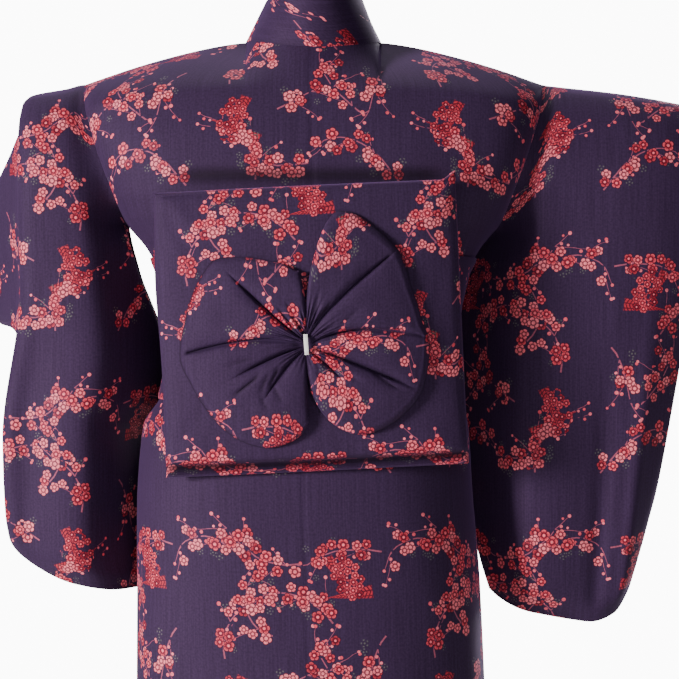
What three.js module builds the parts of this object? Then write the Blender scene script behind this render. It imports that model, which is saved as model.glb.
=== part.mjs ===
// A long kimono worn with its own obi, seen best from the back, where the obi carries a flat padded
// panel with a gathered bow. Millimetres, +Z up. The wearer faces +Y, and their right is at +X.
// The origin is the point between the shoulders that the wearer holds up, level with the neck sides.
import * as THREE from "three";

// Cloth and seams
const WALL = 2; // brocade with its seams pressed open
const BAND_WALL = 3; // collar and obi, which are folded cloth
const SEAM = 0.3; // half of the gap between two pieces at a seam
const LIE = 0.5; // gap under a piece that lies on another

// Body
const TOP_Z = -62; // below this level the body is a stack of level sections
const HEM_Z = -1330;
const NECK_HALF = 72;
const NECK_DEPTH = 72;
const NAPE_Z = -14;
const SHOULDER_HALF = 245;
const SHOULDER_Z = -45;
const ARMPIT_Z = -198;
const SIDE_DROP = 24; // how far a section's ends hang below its middle, at TOP_Z
const FULLNESS = 0.25; // how much squarer than an ellipse a section is

// Sleeves
const ARM_DEPTH = 48; // half of the sleeve's thickness round the arm
const SLEEVE_DROP = 545; // from the shoulder point down to the sleeve's lower edge
const ARMHOLE_GAP = 0.6;

// Collar, obi, panel and bow
const COLLAR_WIDTH = 50;
const COLLAR_GAP = 0.9;
const UNDER = 7; // how far the under layer lies inside the outer one
const UNDER_RAMP = 30;
const OBI_TOP = -232;
const OBI_BOTTOM = -382;
const PANEL = { x: -1, z: -307.5, halfWidth: 154, halfHeight: 145, tilt: 2.7, rim: 7, crown: 15, bend: 14, bulge: 3 };
const BOW = { x: -5.5, z: -324, throat: 1.9, halfThroat: 5 };
const TIE = { width: 4.6, height: 21, thickness: 2, bend: 0.8, tilt: 4, clear: 3.6 };

// Level sections of the body: half width, depth behind and before the side seams, and how far the wearer's
// weight shifts them to the left.
const BODY = [
  { z: -62, width: 238, back: 94, front: 84, lean: 0 },
  { z: -112, width: 225, back: 108, front: 104, lean: 0 },
  { z: -162, width: 210, back: 113, front: 116, lean: 0 },
  { z: -197, width: 199, back: 113, front: 120, lean: 0 },
  { z: -209, width: 189, back: 113, front: 119, lean: 0 },
  { z: -223, width: 178, back: 112, front: 117, lean: 0 },
  { z: -250, width: 165, back: 111, front: 112, lean: 0 },
  { z: -310, width: 153, back: 109, front: 104, lean: 0 },
  { z: -378, width: 160, back: 111, front: 106, lean: 3 },
  { z: -410, width: 174, back: 114, front: 110, lean: 8 },
  { z: -470, width: 179, back: 118, front: 112, lean: 9 },
  { z: -580, width: 184, back: 120, front: 114, lean: 5 },
  { z: -760, width: 188, back: 119, front: 116, lean: 2 },
  { z: -1000, width: 190, back: 116, front: 115, lean: 0 },
  { z: -1330, width: 196, back: 122, front: 122, lean: 0 },
];

// Where each front meets the collar, as a share of the quarter section: 1 is the side seam, 0 the middle
// of the front, and below 0 the other side.
const FRONT_SEAM = [
  { z: 0, share: 0.19 },
  { z: -62, share: 0.15 },
  { z: -112, share: 0.075 },
  { z: -162, share: -0.03 },
  { z: -200, share: -0.15 },
  { z: -240, share: -0.25 },
  { z: -310, share: -0.36 },
  { z: -410, share: -0.4 },
  { z: -1330, share: -0.4 },
];

// The free inner edges of the sleeves, which hang beside the body: how far out, and how far forward.
const LEFT_EDGE = [
  { z: -198, x: 199, y: 0 },
  { z: -213, x: 197, y: 2 },
  { z: -236, x: 191, y: 6 },
  { z: -255, x: 186, y: 14 },
  { z: -277, x: 178, y: 24 },
  { z: -297, x: 171, y: 34 },
  { z: -340, x: 160, y: 46 },
  { z: -378, x: 163, y: 56 },
  { z: -410, x: 180, y: 56 },
  { z: -470, x: 183, y: 52 },
  { z: -590, x: 188, y: 46 },
];
const RIGHT_EDGE = [
  { z: -198, x: 199, y: 4 },
  { z: -213, x: 188, y: 22 },
  { z: -230, x: 178, y: 40 },
  { z: -250, x: 171, y: 48 },
  { z: -300, x: 158, y: 50 },
  { z: -340, x: 158, y: 52 },
  { z: -378, x: 160, y: 54 },
  { z: -410, x: 164, y: 54 },
  { z: -470, x: 169, y: 48 },
  { z: -540, x: 178, y: 38 },
  { z: -600, x: 194, y: 28 },
];

// Half thickness of a sleeve from its top fold, 0, to its lower fold, 1: where it hangs over the arm, and at
// its inner edge.
const BAG = [
  { drop: 0, share: 0, inner: 0 },
  { drop: 0.02, share: 0.5, inner: 0.5 },
  { drop: 0.075, share: 0.86, inner: 0.86 },
  { drop: 0.15, share: 1, inner: 1 },
  { drop: 0.22, share: 0.98, inner: 0.78 },
  { drop: 0.29, share: 0.92, inner: 0.4 },
  { drop: 0.4, share: 0.8, inner: 0.24 },
  { drop: 0.6, share: 0.62, inner: 0.22 },
  { drop: 0.85, share: 0.44, inner: 0.22 },
  { drop: 0.96, share: 0.24, inner: 0.16 },
  { drop: 1, share: 0, inner: 0 },
];

// Plan of each sleeve at the arm: back and front wall, and the heights of the top and lower folds.
const LEFT_SLEEVE = [
  { s: 0, backX: 205, backY: -48, frontX: 205, frontY: 48, top: SHOULDER_Z, bottom: SHOULDER_Z - SLEEVE_DROP },
  { s: 0.14, backX: 236, backY: -52, frontX: 232, frontY: 48, top: -46, bottom: -590 },
  { s: 0.28, backX: 266, backY: -56, frontX: 260, frontY: 50, top: -50, bottom: -582 },
  { s: 0.42, backX: 297, backY: -52, frontX: 288, frontY: 54, top: -54, bottom: -554 },
  { s: 0.52, backX: 313, backY: -36, frontX: 304, frontY: 62, top: -58, bottom: -526 },
  { s: 0.6, backX: 315, backY: -8, frontX: 306, frontY: 76, top: -66, bottom: -480 },
  { s: 0.75, backX: 332, backY: 36, frontX: 310, frontY: 100, top: -94, bottom: -324 },
  { s: 0.88, backX: 356, backY: 74, frontX: 318, frontY: 126, top: -130, bottom: -306 },
  { s: 1, backX: 380, backY: 110, frontX: 328, frontY: 152, top: -160, bottom: -302 },
];
const RIGHT_SLEEVE = [
  { s: 0, backX: 205, backY: -48, frontX: 205, frontY: 48, top: SHOULDER_Z, bottom: SHOULDER_Z - SLEEVE_DROP },
  { s: 0.25, backX: 262, backY: -54, frontX: 258, frontY: 46, top: -48, bottom: -612 },
  { s: 0.5, backX: 320, backY: -54, frontX: 316, frontY: 46, top: -54, bottom: -622 },
  { s: 0.7, backX: 366, backY: -50, frontX: 360, frontY: 52, top: -60, bottom: -614 },
  { s: 0.85, backX: 400, backY: -42, frontX: 394, frontY: 62, top: -65, bottom: -590 },
  { s: 0.93, backX: 418, backY: -36, frontX: 412, frontY: 68, top: -67, bottom: -556 },
  { s: 1, backX: 434, backY: -30, frontX: 428, frontY: 74, top: -70, bottom: -508 },
];
const LEFT_FLARE = 22; // outward swing of the left sleeve's lower half
const RIGHT_LEAN = 0.16; // how much the right cuff leans in for each millimetre down

// Soft hanging folds of the sleeves: place along the sleeve, width, depth, and the drop where it starts.
const LEFT_FOLDS = [
  { s: 0.1, width: 0.07, depth: -12, start: 0.2 },
  { s: 0.27, width: 0.08, depth: 9, start: 0.3 },
  { s: 0.4, width: 0.05, depth: -6, start: 0.35 },
];
const RIGHT_FOLDS = [
  { s: 0.1, width: 0.07, depth: -13, start: 0.2 },
  { s: 0.3, width: 0.09, depth: 7, start: 0.3 },
  { s: 0.52, width: 0.07, depth: -6, start: 0.4 },
  { s: 0.76, width: 0.08, depth: 6, start: 0.3 },
];

// Soft folds of the skirt: place round the half section, width, depth and starting height.
const BACK_FOLDS = [
  { share: -0.72, width: 0.12, depth: 5, start: -430 },
  { share: -0.42, width: 0.1, depth: -4, start: -620 },
  { share: 0.02, width: 0.14, depth: 4, start: -700 },
  { share: 0.45, width: 0.1, depth: -4, start: -560 },
  { share: 0.76, width: 0.1, depth: 5, start: -430 },
];

// The bow's outline from its middle, and its gathers: the angle at the rim, and the point beside the tie
// that each one bends round.
const LEFT_RIM = [
  { angle: 98, radius: 75 },
  { angle: 104, radius: 82 },
  { angle: 116, radius: 94 },
  { angle: 128, radius: 112 },
  { angle: 140, radius: 127 },
  { angle: 153, radius: 126 },
  { angle: 168, radius: 125 },
  { angle: 187, radius: 129 },
  { angle: 198, radius: 124 },
  { angle: 215, radius: 120 },
  { angle: 228, radius: 119 },
  { angle: 245, radius: 114 },
  { angle: 259, radius: 102 },
  { angle: 267, radius: 91 },
  { angle: 272, radius: 78 },
];
const RIGHT_RIM = [
  { angle: 86.5, radius: 76 },
  { angle: 84, radius: 98 },
  { angle: 80, radius: 128 },
  { angle: 76, radius: 139 },
  { angle: 70, radius: 140 },
  { angle: 61, radius: 137 },
  { angle: 46, radius: 133 },
  { angle: 25, radius: 120 },
  { angle: 12, radius: 119 },
  { angle: 1, radius: 125 },
  { angle: -9, radius: 125 },
  { angle: -20, radius: 126 },
  { angle: -40, radius: 119 },
  { angle: -59, radius: 106 },
  { angle: -75, radius: 76 },
  { angle: -84, radius: 48 },
];
const LEFT_GATHERS = [
  { rim: 98, outX: -1.8, upZ: 30, depth: 0.7, reach: 1.2 },
  { rim: 118, outX: -10, upZ: 24, depth: 0.5, reach: 0.5 },
  { rim: 137, outX: -22, upZ: 14, depth: 0.85, reach: 0.95 },
  { rim: 160, outX: -30, upZ: 14, depth: 0.4, reach: 0.4 },
  { rim: 185, outX: -38, upZ: 16, depth: 0.9, reach: 1.2 },
  { rim: 206, outX: -32, upZ: -10, depth: 0.7, reach: 0.8 },
  { rim: 236, outX: -22, upZ: -17, depth: 0.75, reach: 0.75 },
  { rim: 272, outX: -1.4, upZ: -28, depth: 0.7, reach: 1.2 },
];
const RIGHT_GATHERS = [
  { rim: 86.5, outX: 1.8, upZ: 32, depth: 0.7, reach: 1.2 },
  { rim: 67, outX: 6, upZ: 26, depth: 0.5, reach: 0.5 },
  { rim: 46, outX: 11, upZ: 32, depth: 0.9, reach: 1.1 },
  { rim: 24, outX: 36, upZ: 30, depth: 0.4, reach: 0.45 },
  { rim: 3, outX: 50, upZ: 27, depth: 0.85, reach: 1.1 },
  { rim: -22, outX: 50, upZ: -18, depth: 0.9, reach: 1 },
  { rim: -46, outX: 26, upZ: -20, depth: 0.6, reach: 0.6 },
  { rim: -84, outX: 2, upZ: -22, depth: 0.7, reach: 1.2 },
];
// Height of a wing's crown above the panel, from its middle, 0, to its rim, 1.
const PUFF = [
  { out: 0, height: 4 },
  { out: 0.1, height: 5 },
  { out: 0.2, height: 10 },
  { out: 0.36, height: 15.5 },
  { out: 0.6, height: 17 },
  { out: 0.82, height: 13 },
  { out: 0.94, height: 7.5 },
  { out: 1, height: 0.4 },
];

// Small tools

const mix = (a, b, t) => a + (b - a) * t;
const smooth = (from, to, x) => {
  const t = Math.min(1, Math.max(0, (x - from) / (to - from)));
  return t * t * (3 - 2 * t);
};
const spread = (from, to, count) => Array.from({ length: count + 1 }, (_, i) => mix(from, to, i / count));
const point = (x, y, z) => new THREE.Vector3(x, y, z);

// The column of a table as a function of its key: a smooth curve that never overshoots a row.
function curve(rows, key, column) {
  const sorted = [...rows].sort((a, b) => a[key] - b[key]);
  const xs = sorted.map((row) => row[key]);
  const ys = sorted.map((row) => row[column]);
  const steps = xs.slice(1).map((x, i) => (ys[i + 1] - ys[i]) / (x - xs[i]));
  const slopes = xs.map((_, i) => {
    if (i === 0) return steps[0];
    if (i === steps.length) return steps[i - 1];
    const [a, b] = [steps[i - 1], steps[i]];
    return a * b <= 0 ? 0 : (2 * a * b) / (a + b);
  });
  return (x) => {
    const inside = Math.min(xs[xs.length - 1], Math.max(xs[0], x));
    let i = 0;
    while (i < xs.length - 2 && inside > xs[i + 1]) i += 1;
    const h = xs[i + 1] - xs[i];
    const t = (inside - xs[i]) / h;
    const [t2, t3] = [t * t, t * t * t];
    return (2 * t3 - 3 * t2 + 1) * ys[i] + (t3 - 2 * t2 + t) * h * slopes[i]
      + (3 * t2 - 2 * t3) * ys[i + 1] + (t3 - t2) * h * slopes[i + 1];
  };
}

// Unit normals of a grid of points, which point to the side where columns cross rows.
function normals(grid, ring) {
  return grid.map((row, r) => row.map((_, c) => {
    const count = row.length;
    const before = ring ? (c + count - 1) % count : Math.max(c - 1, 0);
    const after = ring ? (c + 1) % count : Math.min(c + 1, count - 1);
    const across = row[after].clone().sub(row[before]);
    const down = grid[Math.min(r + 1, grid.length - 1)][c].clone().sub(grid[Math.max(r - 1, 0)][c]);
    return across.cross(down).normalize();
  }));
}

// A closed solid between two grids of points, an outer and an inner one.
function slab(outer, inner, ring = false) {
  const [rows, columns] = [outer.length, outer[0].length];
  const positions = [...outer.flat(), ...inner.flat()].flatMap((p) => p.toArray());
  const index = [];
  const out = (r, c) => r * columns + (c % columns);
  const into = (r, c) => rows * columns + out(r, c);
  const quad = (a, b, c, d) => index.push(a, b, c, a, c, d);
  const last = ring ? columns : columns - 1;
  for (let r = 0; r < rows - 1; r += 1) {
    for (let c = 0; c < last; c += 1) {
      quad(out(r, c), out(r, c + 1), out(r + 1, c + 1), out(r + 1, c));
      quad(into(r, c), into(r + 1, c), into(r + 1, c + 1), into(r, c + 1));
    }
    if (!ring) {
      quad(out(r, 0), out(r + 1, 0), into(r + 1, 0), into(r, 0));
      quad(out(r, last), into(r, last), into(r + 1, last), out(r + 1, last));
    }
  }
  for (let c = 0; c < last; c += 1) {
    quad(out(0, c), into(0, c), into(0, c + 1), out(0, c + 1));
    quad(out(rows - 1, c), out(rows - 1, c + 1), into(rows - 1, c + 1), into(rows - 1, c));
  }
  const geometry = new THREE.BufferGeometry();
  geometry.setAttribute("position", new THREE.Float32BufferAttribute(positions, 3));
  geometry.setIndex(index);
  return geometry;
}

// Points moved along the grid's normals. plumb may straighten a normal at an edge.
function moved(grid, distance, { ring = false, plumb = null } = {}) {
  const ways = normals(grid, ring);
  return grid.map((row, r) => row.map((p, c) => {
    const way = ways[r][c];
    if (plumb) plumb(way, r, c, p);
    return p.clone().addScaledVector(way.normalize(), distance);
  }));
}

function wall(outer, thickness, options = {}) {
  return slab(outer, moved(outer, -thickness, options), options.ring);
}

// The sum of soft ridges and troughs at a place along a piece.
function folds(rows, key, place) {
  return (value) => rows.reduce((sum, fold) => {
    const off = (place - fold[key]) / fold.width;
    return sum + fold.depth * Math.exp(-off * off) * value(fold);
  }, 0);
}

// Body

const widthAt = curve(BODY, "z", "width");
const backAt = curve(BODY, "z", "back");
const frontAt = curve(BODY, "z", "front");
const leanAt = curve(BODY, "z", "lean");
const bagAt = curve(BAG, "drop", "share");
const innerBagAt = curve(BAG, "drop", "inner");
const seamShareAt = curve(FRONT_SEAM, "z", "share");

const endZ = (z) => z - SIDE_DROP * Math.max(0, (z - ARMPIT_Z) / (TOP_Z - ARMPIT_Z));

// Distance from the middle plane to the armhole's edge, at the height of a section's end.
function armholeDepth(z) {
  if (z <= ARMPIT_Z) return 0;
  const closing = Math.min(1, Math.sqrt((z - ARMPIT_Z) / 25));
  return ARM_DEPTH * innerBagAt((SHOULDER_Z - z) / SLEEVE_DROP) * closing;
}

// A point of a level section. face is -1 at the back and 1 at the front; share runs from -1, the left
// side seam, over 0, the middle, to 1, the right one.
function sectionPoint(face, share, z) {
  const angle = (share * Math.PI) / 2;
  const c = Math.cos(angle);
  const end = armholeDepth(endZ(z));
  const depth = face < 0 ? backAt(z) : frontAt(z);
  const full = c + FULLNESS * c * (1 - c * c);
  const soft = face < 0 ? BACK_FOLDS : [];
  const fold = folds(soft, "share", share)((f) => smooth(f.start, f.start - 260, z));
  const y = end + (depth - end) * full + fold * Math.min(1, 3 * (1 - Math.abs(share)));
  return point(widthAt(z) * Math.sin(angle) - leanAt(z), face * y, mix(z, endZ(z), share * share));
}

// The upper edge: the neck curve at the back, and the shoulder lines.
function topPoint(face, share) {
  const x = SHOULDER_HALF * Math.sin((share * Math.PI) / 2);
  const beyond = Math.max(0, Math.abs(x) - NECK_HALF) / (SHOULDER_HALF - NECK_HALF);
  if (beyond > 0) return point(x, face * SEAM, SHOULDER_Z * beyond ** 1.4);
  if (face > 0) return point(x, SEAM, 0);
  const round = Math.sqrt(Math.max(0, 1 - (x / NECK_HALF) ** 2));
  return point(x, -Math.max(SEAM, NECK_DEPTH * round), NAPE_Z * round * round);
}

// A point of the back or front at any height from 0, the upper edge, to HEM_Z.
function bodyPoint(face, share, z) {
  if (z <= TOP_Z) {
    const p = sectionPoint(face, share, z);
    if (Math.abs(share) === 1) p.y = face * Math.max(SEAM, Math.abs(p.y));
    return p;
  }
  const t = z / TOP_Z;
  const start = topPoint(face, share);
  const end = sectionPoint(face, share, TOP_Z);
  const below = sectionPoint(face, share, TOP_Z - 1);
  const shoulder = smooth(0.15, 0.4, Math.abs(share));
  const leave = point(0, face * mix(25, 75, shoulder), mix(-45, -15, shoulder));
  const arrive = below.sub(end).multiplyScalar(start.z - end.z);
  const [t2, t3] = [t * t, t * t * t];
  return start.multiplyScalar(2 * t3 - 3 * t2 + 1)
    .addScaledVector(leave, t3 - 2 * t2 + t)
    .addScaledVector(end, 3 * t2 - 2 * t3)
    .addScaledVector(arrive, t3 - t2);
}

const OBI_ROWS = spread(OBI_TOP, OBI_BOTTOM, 4);
const ARM_ROWS = [0, -14, -36, -62, -90, -120, -148, -172, -189, -200];
const BODY_ROWS = [...ARM_ROWS, -215, ...OBI_ROWS, -405, -440, -500, -590, -720, -880, -1090, HEM_Z];
const NECK_SHARE = (Math.asin(NECK_HALF / SHOULDER_HALF) * 2) / Math.PI;
const HALF_SHARES = [...spread(1, NECK_SHARE, 7), ...spread(NECK_SHARE, 0, 3).slice(1)];
const BACK_SHARES = [...HALF_SHARES, ...[...HALF_SHARES].reverse().slice(1).map((share) => -share)];

// At the shoulder and side seams both pieces are cut square, so that their inner edges stay apart.
function seamPlumb(way, r, c, p) {
  if (Math.abs(p.y) <= SEAM + 0.01) way.y = 0;
}

// The same along the armhole and the two ends of a sleeve.
function sleevePlumb(way, r) {
  if (r === 0) way.x = 0;
}

const backGrid = BODY_ROWS.map((z) => BACK_SHARES.map((share) => bodyPoint(-1, share, z)));

function back() {
  return wall(backGrid, WALL, { plumb: seamPlumb });
}

// The grid of a front. side is -1 for the left one, which lies outside, and 1 for the right one.
const FRONT_STEPS = 13;
function frontGrid(side) {
  return BODY_ROWS.map((z) => {
    const shares = spread(1, seamShareAt(z), FRONT_STEPS);
    if (side > 0) shares.reverse();
    return shares.map((share) => bodyPoint(1, side * share, z));
  });
}

// The collar's seam line and the ways across it, from the left hem round the neck to the right hem.
function collarLines(left, right) {
  const ways = [normals(left, false), normals(right, false)];
  const line = [];
  const add = (p, outward, lift) => {
    const side = point(Math.sign(p.x) * 0.9, 0, 0.43);
    line.push({ p, outward: outward.clone().lerp(side, lift).normalize() });
  };
  const lifted = (p) => smooth(-95, -5, p.z);
  left.map((row, r) => [row[FRONT_STEPS], ways[0][r][FRONT_STEPS]]).reverse()
    .forEach(([p, way]) => add(p, way, lifted(p)));
  backGrid[0].filter((p) => Math.abs(p.x) < NECK_HALF - 1).reverse().forEach((p) => {
    const aside = Math.abs(p.x) / NECK_HALF;
    line.push({ p, outward: point(p.x, p.y, mix(-14, 30, aside * aside)).normalize() });
  });
  right.forEach((row, r) => add(row[0], ways[1][r][0], lifted(row[0])));
  return line.map(({ p, outward }, i) => {
    const ahead = line[Math.min(i + 1, line.length - 1)].p;
    const behind = line[Math.max(i - 1, 0)].p;
    const along = ahead.clone().sub(behind).normalize();
    return { p, outward, across: outward.clone().cross(along).normalize() };
  });
}

// How far forward the front lies at a place, below TOP_Z.
function frontFace(x, z) {
  let level = z;
  let share = 0;
  for (let i = 0; i < 4; i += 1) {
    share = (Math.asin(Math.min(1, Math.abs(x + leanAt(level)) / widthAt(level))) * 2) / Math.PI;
    level = Math.min(TOP_Z, z + (level - endZ(level)) * share * share);
  }
  return sectionPoint(1, share, level).y;
}

// The collar as rows of points from its free edge to its seam. It stands at the neck and lies on the chest.
function collarGrid(line) {
  const shares = [1, 0.5, 0];
  return line.map(({ p, across }) => shares.map((share) => {
    const place = p.clone().addScaledVector(across, COLLAR_GAP + share * COLLAR_WIDTH);
    const lying = p.y > 0 ? 1 - smooth(-125, -62, p.z) : 0;
    if (lying > 0) place.y = mix(place.y, frontFace(place.x, place.z), lying);
    return place;
  }));
}

// Presses a point of the right front or collar in, where the left one covers it.
function pressed(freeEdge) {
  const edgeX = curve(freeEdge, "z", "x");
  return (p) => {
    const deep = UNDER * smooth(0, UNDER_RAMP, edgeX(p.z) + UNDER_RAMP - p.x);
    const reach = Math.hypot(p.x, p.y);
    return point(p.x * (1 - deep / reach), p.y * (1 - deep / reach), p.z);
  };
}

// Sleeves

// Stations along a sleeve and drops down it, which set its grid. The upper drops meet the armhole's rows.
const SLEEVE_STATIONS = [0, 0.07, 0.14, 0.22, 0.3, 0.38, 0.46, 0.52, 0.58, 0.66, 0.75, 0.84, 0.92, 1];
const ARMHOLE = ARM_ROWS.map((z) => bodyPoint(1, 1, z));
const DROPS = [
  ...ARMHOLE.slice(1).map((p) => (SHOULDER_Z - p.z) / SLEEVE_DROP),
  0.34, 0.42, 0.52, 0.64, 0.76, 0.87, 0.94, 0.98,
];

// The armhole's edge at a height, or the sleeve's own inner edge below it.
function innerEdge(edge, drop, face) {
  const z = mix(SHOULDER_Z, SHOULDER_Z - SLEEVE_DROP, drop);
  const spreadY = face * ARM_DEPTH * innerBagAt(drop);
  if (z <= ARMPIT_Z) {
    const clear = smooth(ARMPIT_Z, ARMPIT_Z - 20, z);
    return { x: curve(edge, "z", "x")(z), y: curve(edge, "z", "y")(z) + spreadY * mix(0.4, 1, clear) };
  }
  const i = Math.max(1, ARMHOLE.findIndex((p) => p.z <= z + 1e-6));
  const [above, below] = [ARMHOLE[i - 1], ARMHOLE[i]];
  const t = Math.max(0, (above.z - z) / (above.z - below.z));
  return { x: mix(above.x, below.x, t), y: face * Math.max(SEAM, mix(above.y, below.y, t)) };
}

function sleevePoint({ rows, edge, foldRows, side, swing }, face, s, drop) {
  const at = (column) => curve(rows, "s", column)(s);
  const z = mix(at("top"), at("bottom"), drop);
  const inner = innerEdge(edge, drop, face);
  const share = bagAt(drop);
  const half = (front, rear) => [(front + rear) / 2, ((front - rear) / 2) * face * share];
  const [midX, offX] = half(at("frontX"), at("backX"));
  const [midY, offY] = half(at("frontY"), at("backY"));
  const hanging = (f) => smooth(f.start, f.start + 0.4, drop) * (1 - smooth(0.94, 1, drop));
  const fold = folds(foldRows, "s", s)(hanging);
  const own = smooth(0, 0.46, s);
  const x = mix(inner.x + ARMHOLE_GAP, midX, own) + s * 90 * (1 - own) + offX + swing(s, z);
  const y = mix(midY + offY - fold, inner.y, 1 - smooth(0, 0.26, s));
  return point(side * x, y, z);
}
const leftSwing = (s, z) => LEFT_FLARE * smooth(-260, -430, z) * smooth(0.1, 0.5, s);
const rightSwing = (s, z) => -RIGHT_LEAN * Math.max(0, -96 - z) * s * s;

function sleeveGrid(sleeve) {
  return SLEEVE_STATIONS.map((s) => {
    const at = (face, drop) => sleevePoint(sleeve, face, s, drop);
    const ring = [
      at(-1, 0), ...DROPS.map((drop) => at(-1, drop)),
      at(1, 1), ...[...DROPS].reverse().map((drop) => at(1, drop)),
    ];
    return sleeve.side < 0 ? ring.reverse() : ring;
  });
}

// Obi: a band of the back's own points, moved out, and a looser run over the fronts.
function obi() {
  const facing = OBI_ROWS.map((z) => {
    const rear = BACK_SHARES.map((share) => bodyPoint(-1, share, z));
    const fore = spread(-1, 1, 24).slice(1, -1).map((share) => bodyPoint(1, share, z));
    return [...rear, ...fore];
  });
  const loose = (p) => LIE + 1.9 * smooth(0, 30, p.y);
  const ways = normals(facing, true);
  const out = (extra) => facing.map((row, r) => row.map((p, c) => {
    const way = ways[r][c].clone().setZ(0).normalize();
    return p.clone().addScaledVector(way, loose(p) + extra);
  }));
  return slab(out(BAND_WALL), out(0), true);
}

// Panel: a flat pad that leans on the obi, with a rolled edge along its foot.
const PANEL_TILT = (PANEL.tilt * Math.PI) / 180;
function panelPlace(u, v) {
  const soft = PANEL.bulge * Math.exp(-(((v - 0.35) / 0.4) ** 2)) * Math.max(0, -u);
  const [a, b] = [u * PANEL.halfWidth - soft, v * PANEL.halfHeight];
  const lift = 6 * smooth(0.86, 1, u) * smooth(0.86, 1, v); // the corner that sticks up
  return {
    x: PANEL.x + a * Math.cos(PANEL_TILT) - b * Math.sin(PANEL_TILT),
    z: PANEL.z + a * Math.sin(PANEL_TILT) + (b + lift) * Math.cos(PANEL_TILT),
  };
}
function panelInner(x, z) {
  return -(backAt(z) + BAND_WALL + 2 * LIE + SEAM) + PANEL.bend * (x / PANEL.halfWidth) ** 2;
}
function panelThickness(u, v) {
  const crown = Math.sqrt(Math.max(0, (1 - u ** 4) * (1 - v ** 4)));
  const roll = 1 - 0.62 * Math.exp(-(((v + 0.935) / 0.022) ** 2));
  return (PANEL.rim + PANEL.crown * crown) * roll;
}
function panel() {
  const us = [1, 0.965, 0.88, 0.7, 0.47, 0.23, 0].flatMap((u) => (u ? [u, -u] : [0])).sort((a, b) => b - a);
  const vs = [1, 0.96, 0.86, 0.66, 0.4, 0.13, -0.13, -0.4, -0.66, -0.84, -0.9, -0.935, -0.965, -1];
  const grid = (depth) => vs.map((v) => us.map((u) => {
    const { x, z } = panelPlace(u, v);
    return point(x, panelInner(x, z) - depth * panelThickness(u, v), z);
  }));
  return slab(grid(1), grid(0));
}

// The panel's outer face at a place on it.
function panelFace(x, z) {
  const [dx, dz] = [x - PANEL.x, z - PANEL.z];
  const u = (dx * Math.cos(PANEL_TILT) + dz * Math.sin(PANEL_TILT)) / PANEL.halfWidth;
  const v = (dz * Math.cos(PANEL_TILT) - dx * Math.sin(PANEL_TILT)) / PANEL.halfHeight;
  return panelInner(x, z) - PANEL.rim - PANEL.crown * Math.sqrt(Math.max(0, (1 - u ** 4) * (1 - v ** 4)));
}

// Bow: each wing is a fan of puffed lobes between the gathers. It leaves the tie sideways and fans out.
const puffAt = curve(PUFF, "out", "height");
function wingPoint(rim, gathers, lobe, out) {
  const k = Math.min(Math.floor(lobe), gathers.length - 2);
  const t = lobe - k;
  const [a, b] = [gathers[k], gathers[k + 1]];
  const angle = mix(a.rim, b.rim, t);
  const radius = curve(rim, "angle", "radius")(angle);
  const turn = (angle * Math.PI) / 180;
  const bend = (from, by, to) => (1 - out) ** 2 * from + 2 * out * (1 - out) * by + out * out * to;
  const throatX = Math.sign(a.outX) * BOW.throat;
  const throatZ = BOW.halfThroat * (1 - (2 * lobe) / (gathers.length - 1));
  const x = BOW.x + bend(throatX, mix(a.outX, b.outX, t), radius * Math.cos(turn));
  const z = BOW.z + bend(throatZ, mix(a.upZ, b.upZ, t), radius * Math.sin(turn));
  const gap = Math.sin(Math.PI * t); // 0 in a gather, 1 on a crown
  const strength = (row) => row.depth * (1 - smooth(row.reach - 0.3, row.reach, out));
  const sink = mix(strength(a), strength(b), smooth(0.3, 0.7, t)) * (1 - Math.sqrt(gap)) * smooth(0, 0.2, out);
  const height = WALL + LIE + puffAt(out) * (1 - sink * (1 - smooth(0.8, 1, out)));
  return point(x, panelFace(x, z) - height, z);
}
const LOBE_STEPS = [0, 0.1, 0.3, 0.5, 0.7, 0.9];
const OUT_STEPS = [0, 0.12, 0.3, 0.5, 0.7, 0.86, 0.95, 1];
function wing(rim, gathers) {
  const lobes = [];
  for (let k = 0; k < gathers.length - 1; k += 1) LOBE_STEPS.forEach((t) => lobes.push(k + t));
  lobes.push(gathers.length - 1);
  if (rim === LEFT_RIM) lobes.reverse();
  return wall(OUT_STEPS.map((out) => lobes.map((lobe) => wingPoint(rim, gathers, lobe, out))), WALL);
}

// Tie: a short strap of tape over the gathers, bent down at both ends.
function tie() {
  const half = TIE.height / 2;
  const outline = new THREE.Shape();
  outline.moveTo(-half, -TIE.bend);
  outline.quadraticCurveTo(-half * 0.9, TIE.thickness, -half * 0.5, TIE.thickness);
  outline.lineTo(half * 0.5, TIE.thickness);
  outline.quadraticCurveTo(half * 0.9, TIE.thickness, half, -TIE.bend);
  outline.lineTo(half - TIE.thickness, -TIE.bend);
  outline.quadraticCurveTo(half * 0.78, 0, half * 0.45, 0);
  outline.lineTo(-half * 0.45, 0);
  outline.quadraticCurveTo(-half * 0.78, 0, TIE.thickness - half, -TIE.bend);
  const geometry = new THREE.ExtrudeGeometry(outline, { depth: TIE.width, bevelEnabled: false, curveSegments: 5 });
  geometry.translate(0, 0, -TIE.width / 2);
  return geometry.applyMatrix4(new THREE.Matrix4().makeBasis(point(0, 0, 1), point(0, -1, 0), point(1, 0, 0)));
}

// Assembly

const CLOTH = { color: 0x2b2438, roughness: 0.5, metalness: 0 };
function add(group, name, geometry, material = CLOTH) {
  const mesh = new THREE.Mesh(geometry, new THREE.MeshStandardMaterial(material));
  mesh.name = name;
  group.add(mesh);
  return mesh;
}

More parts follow.
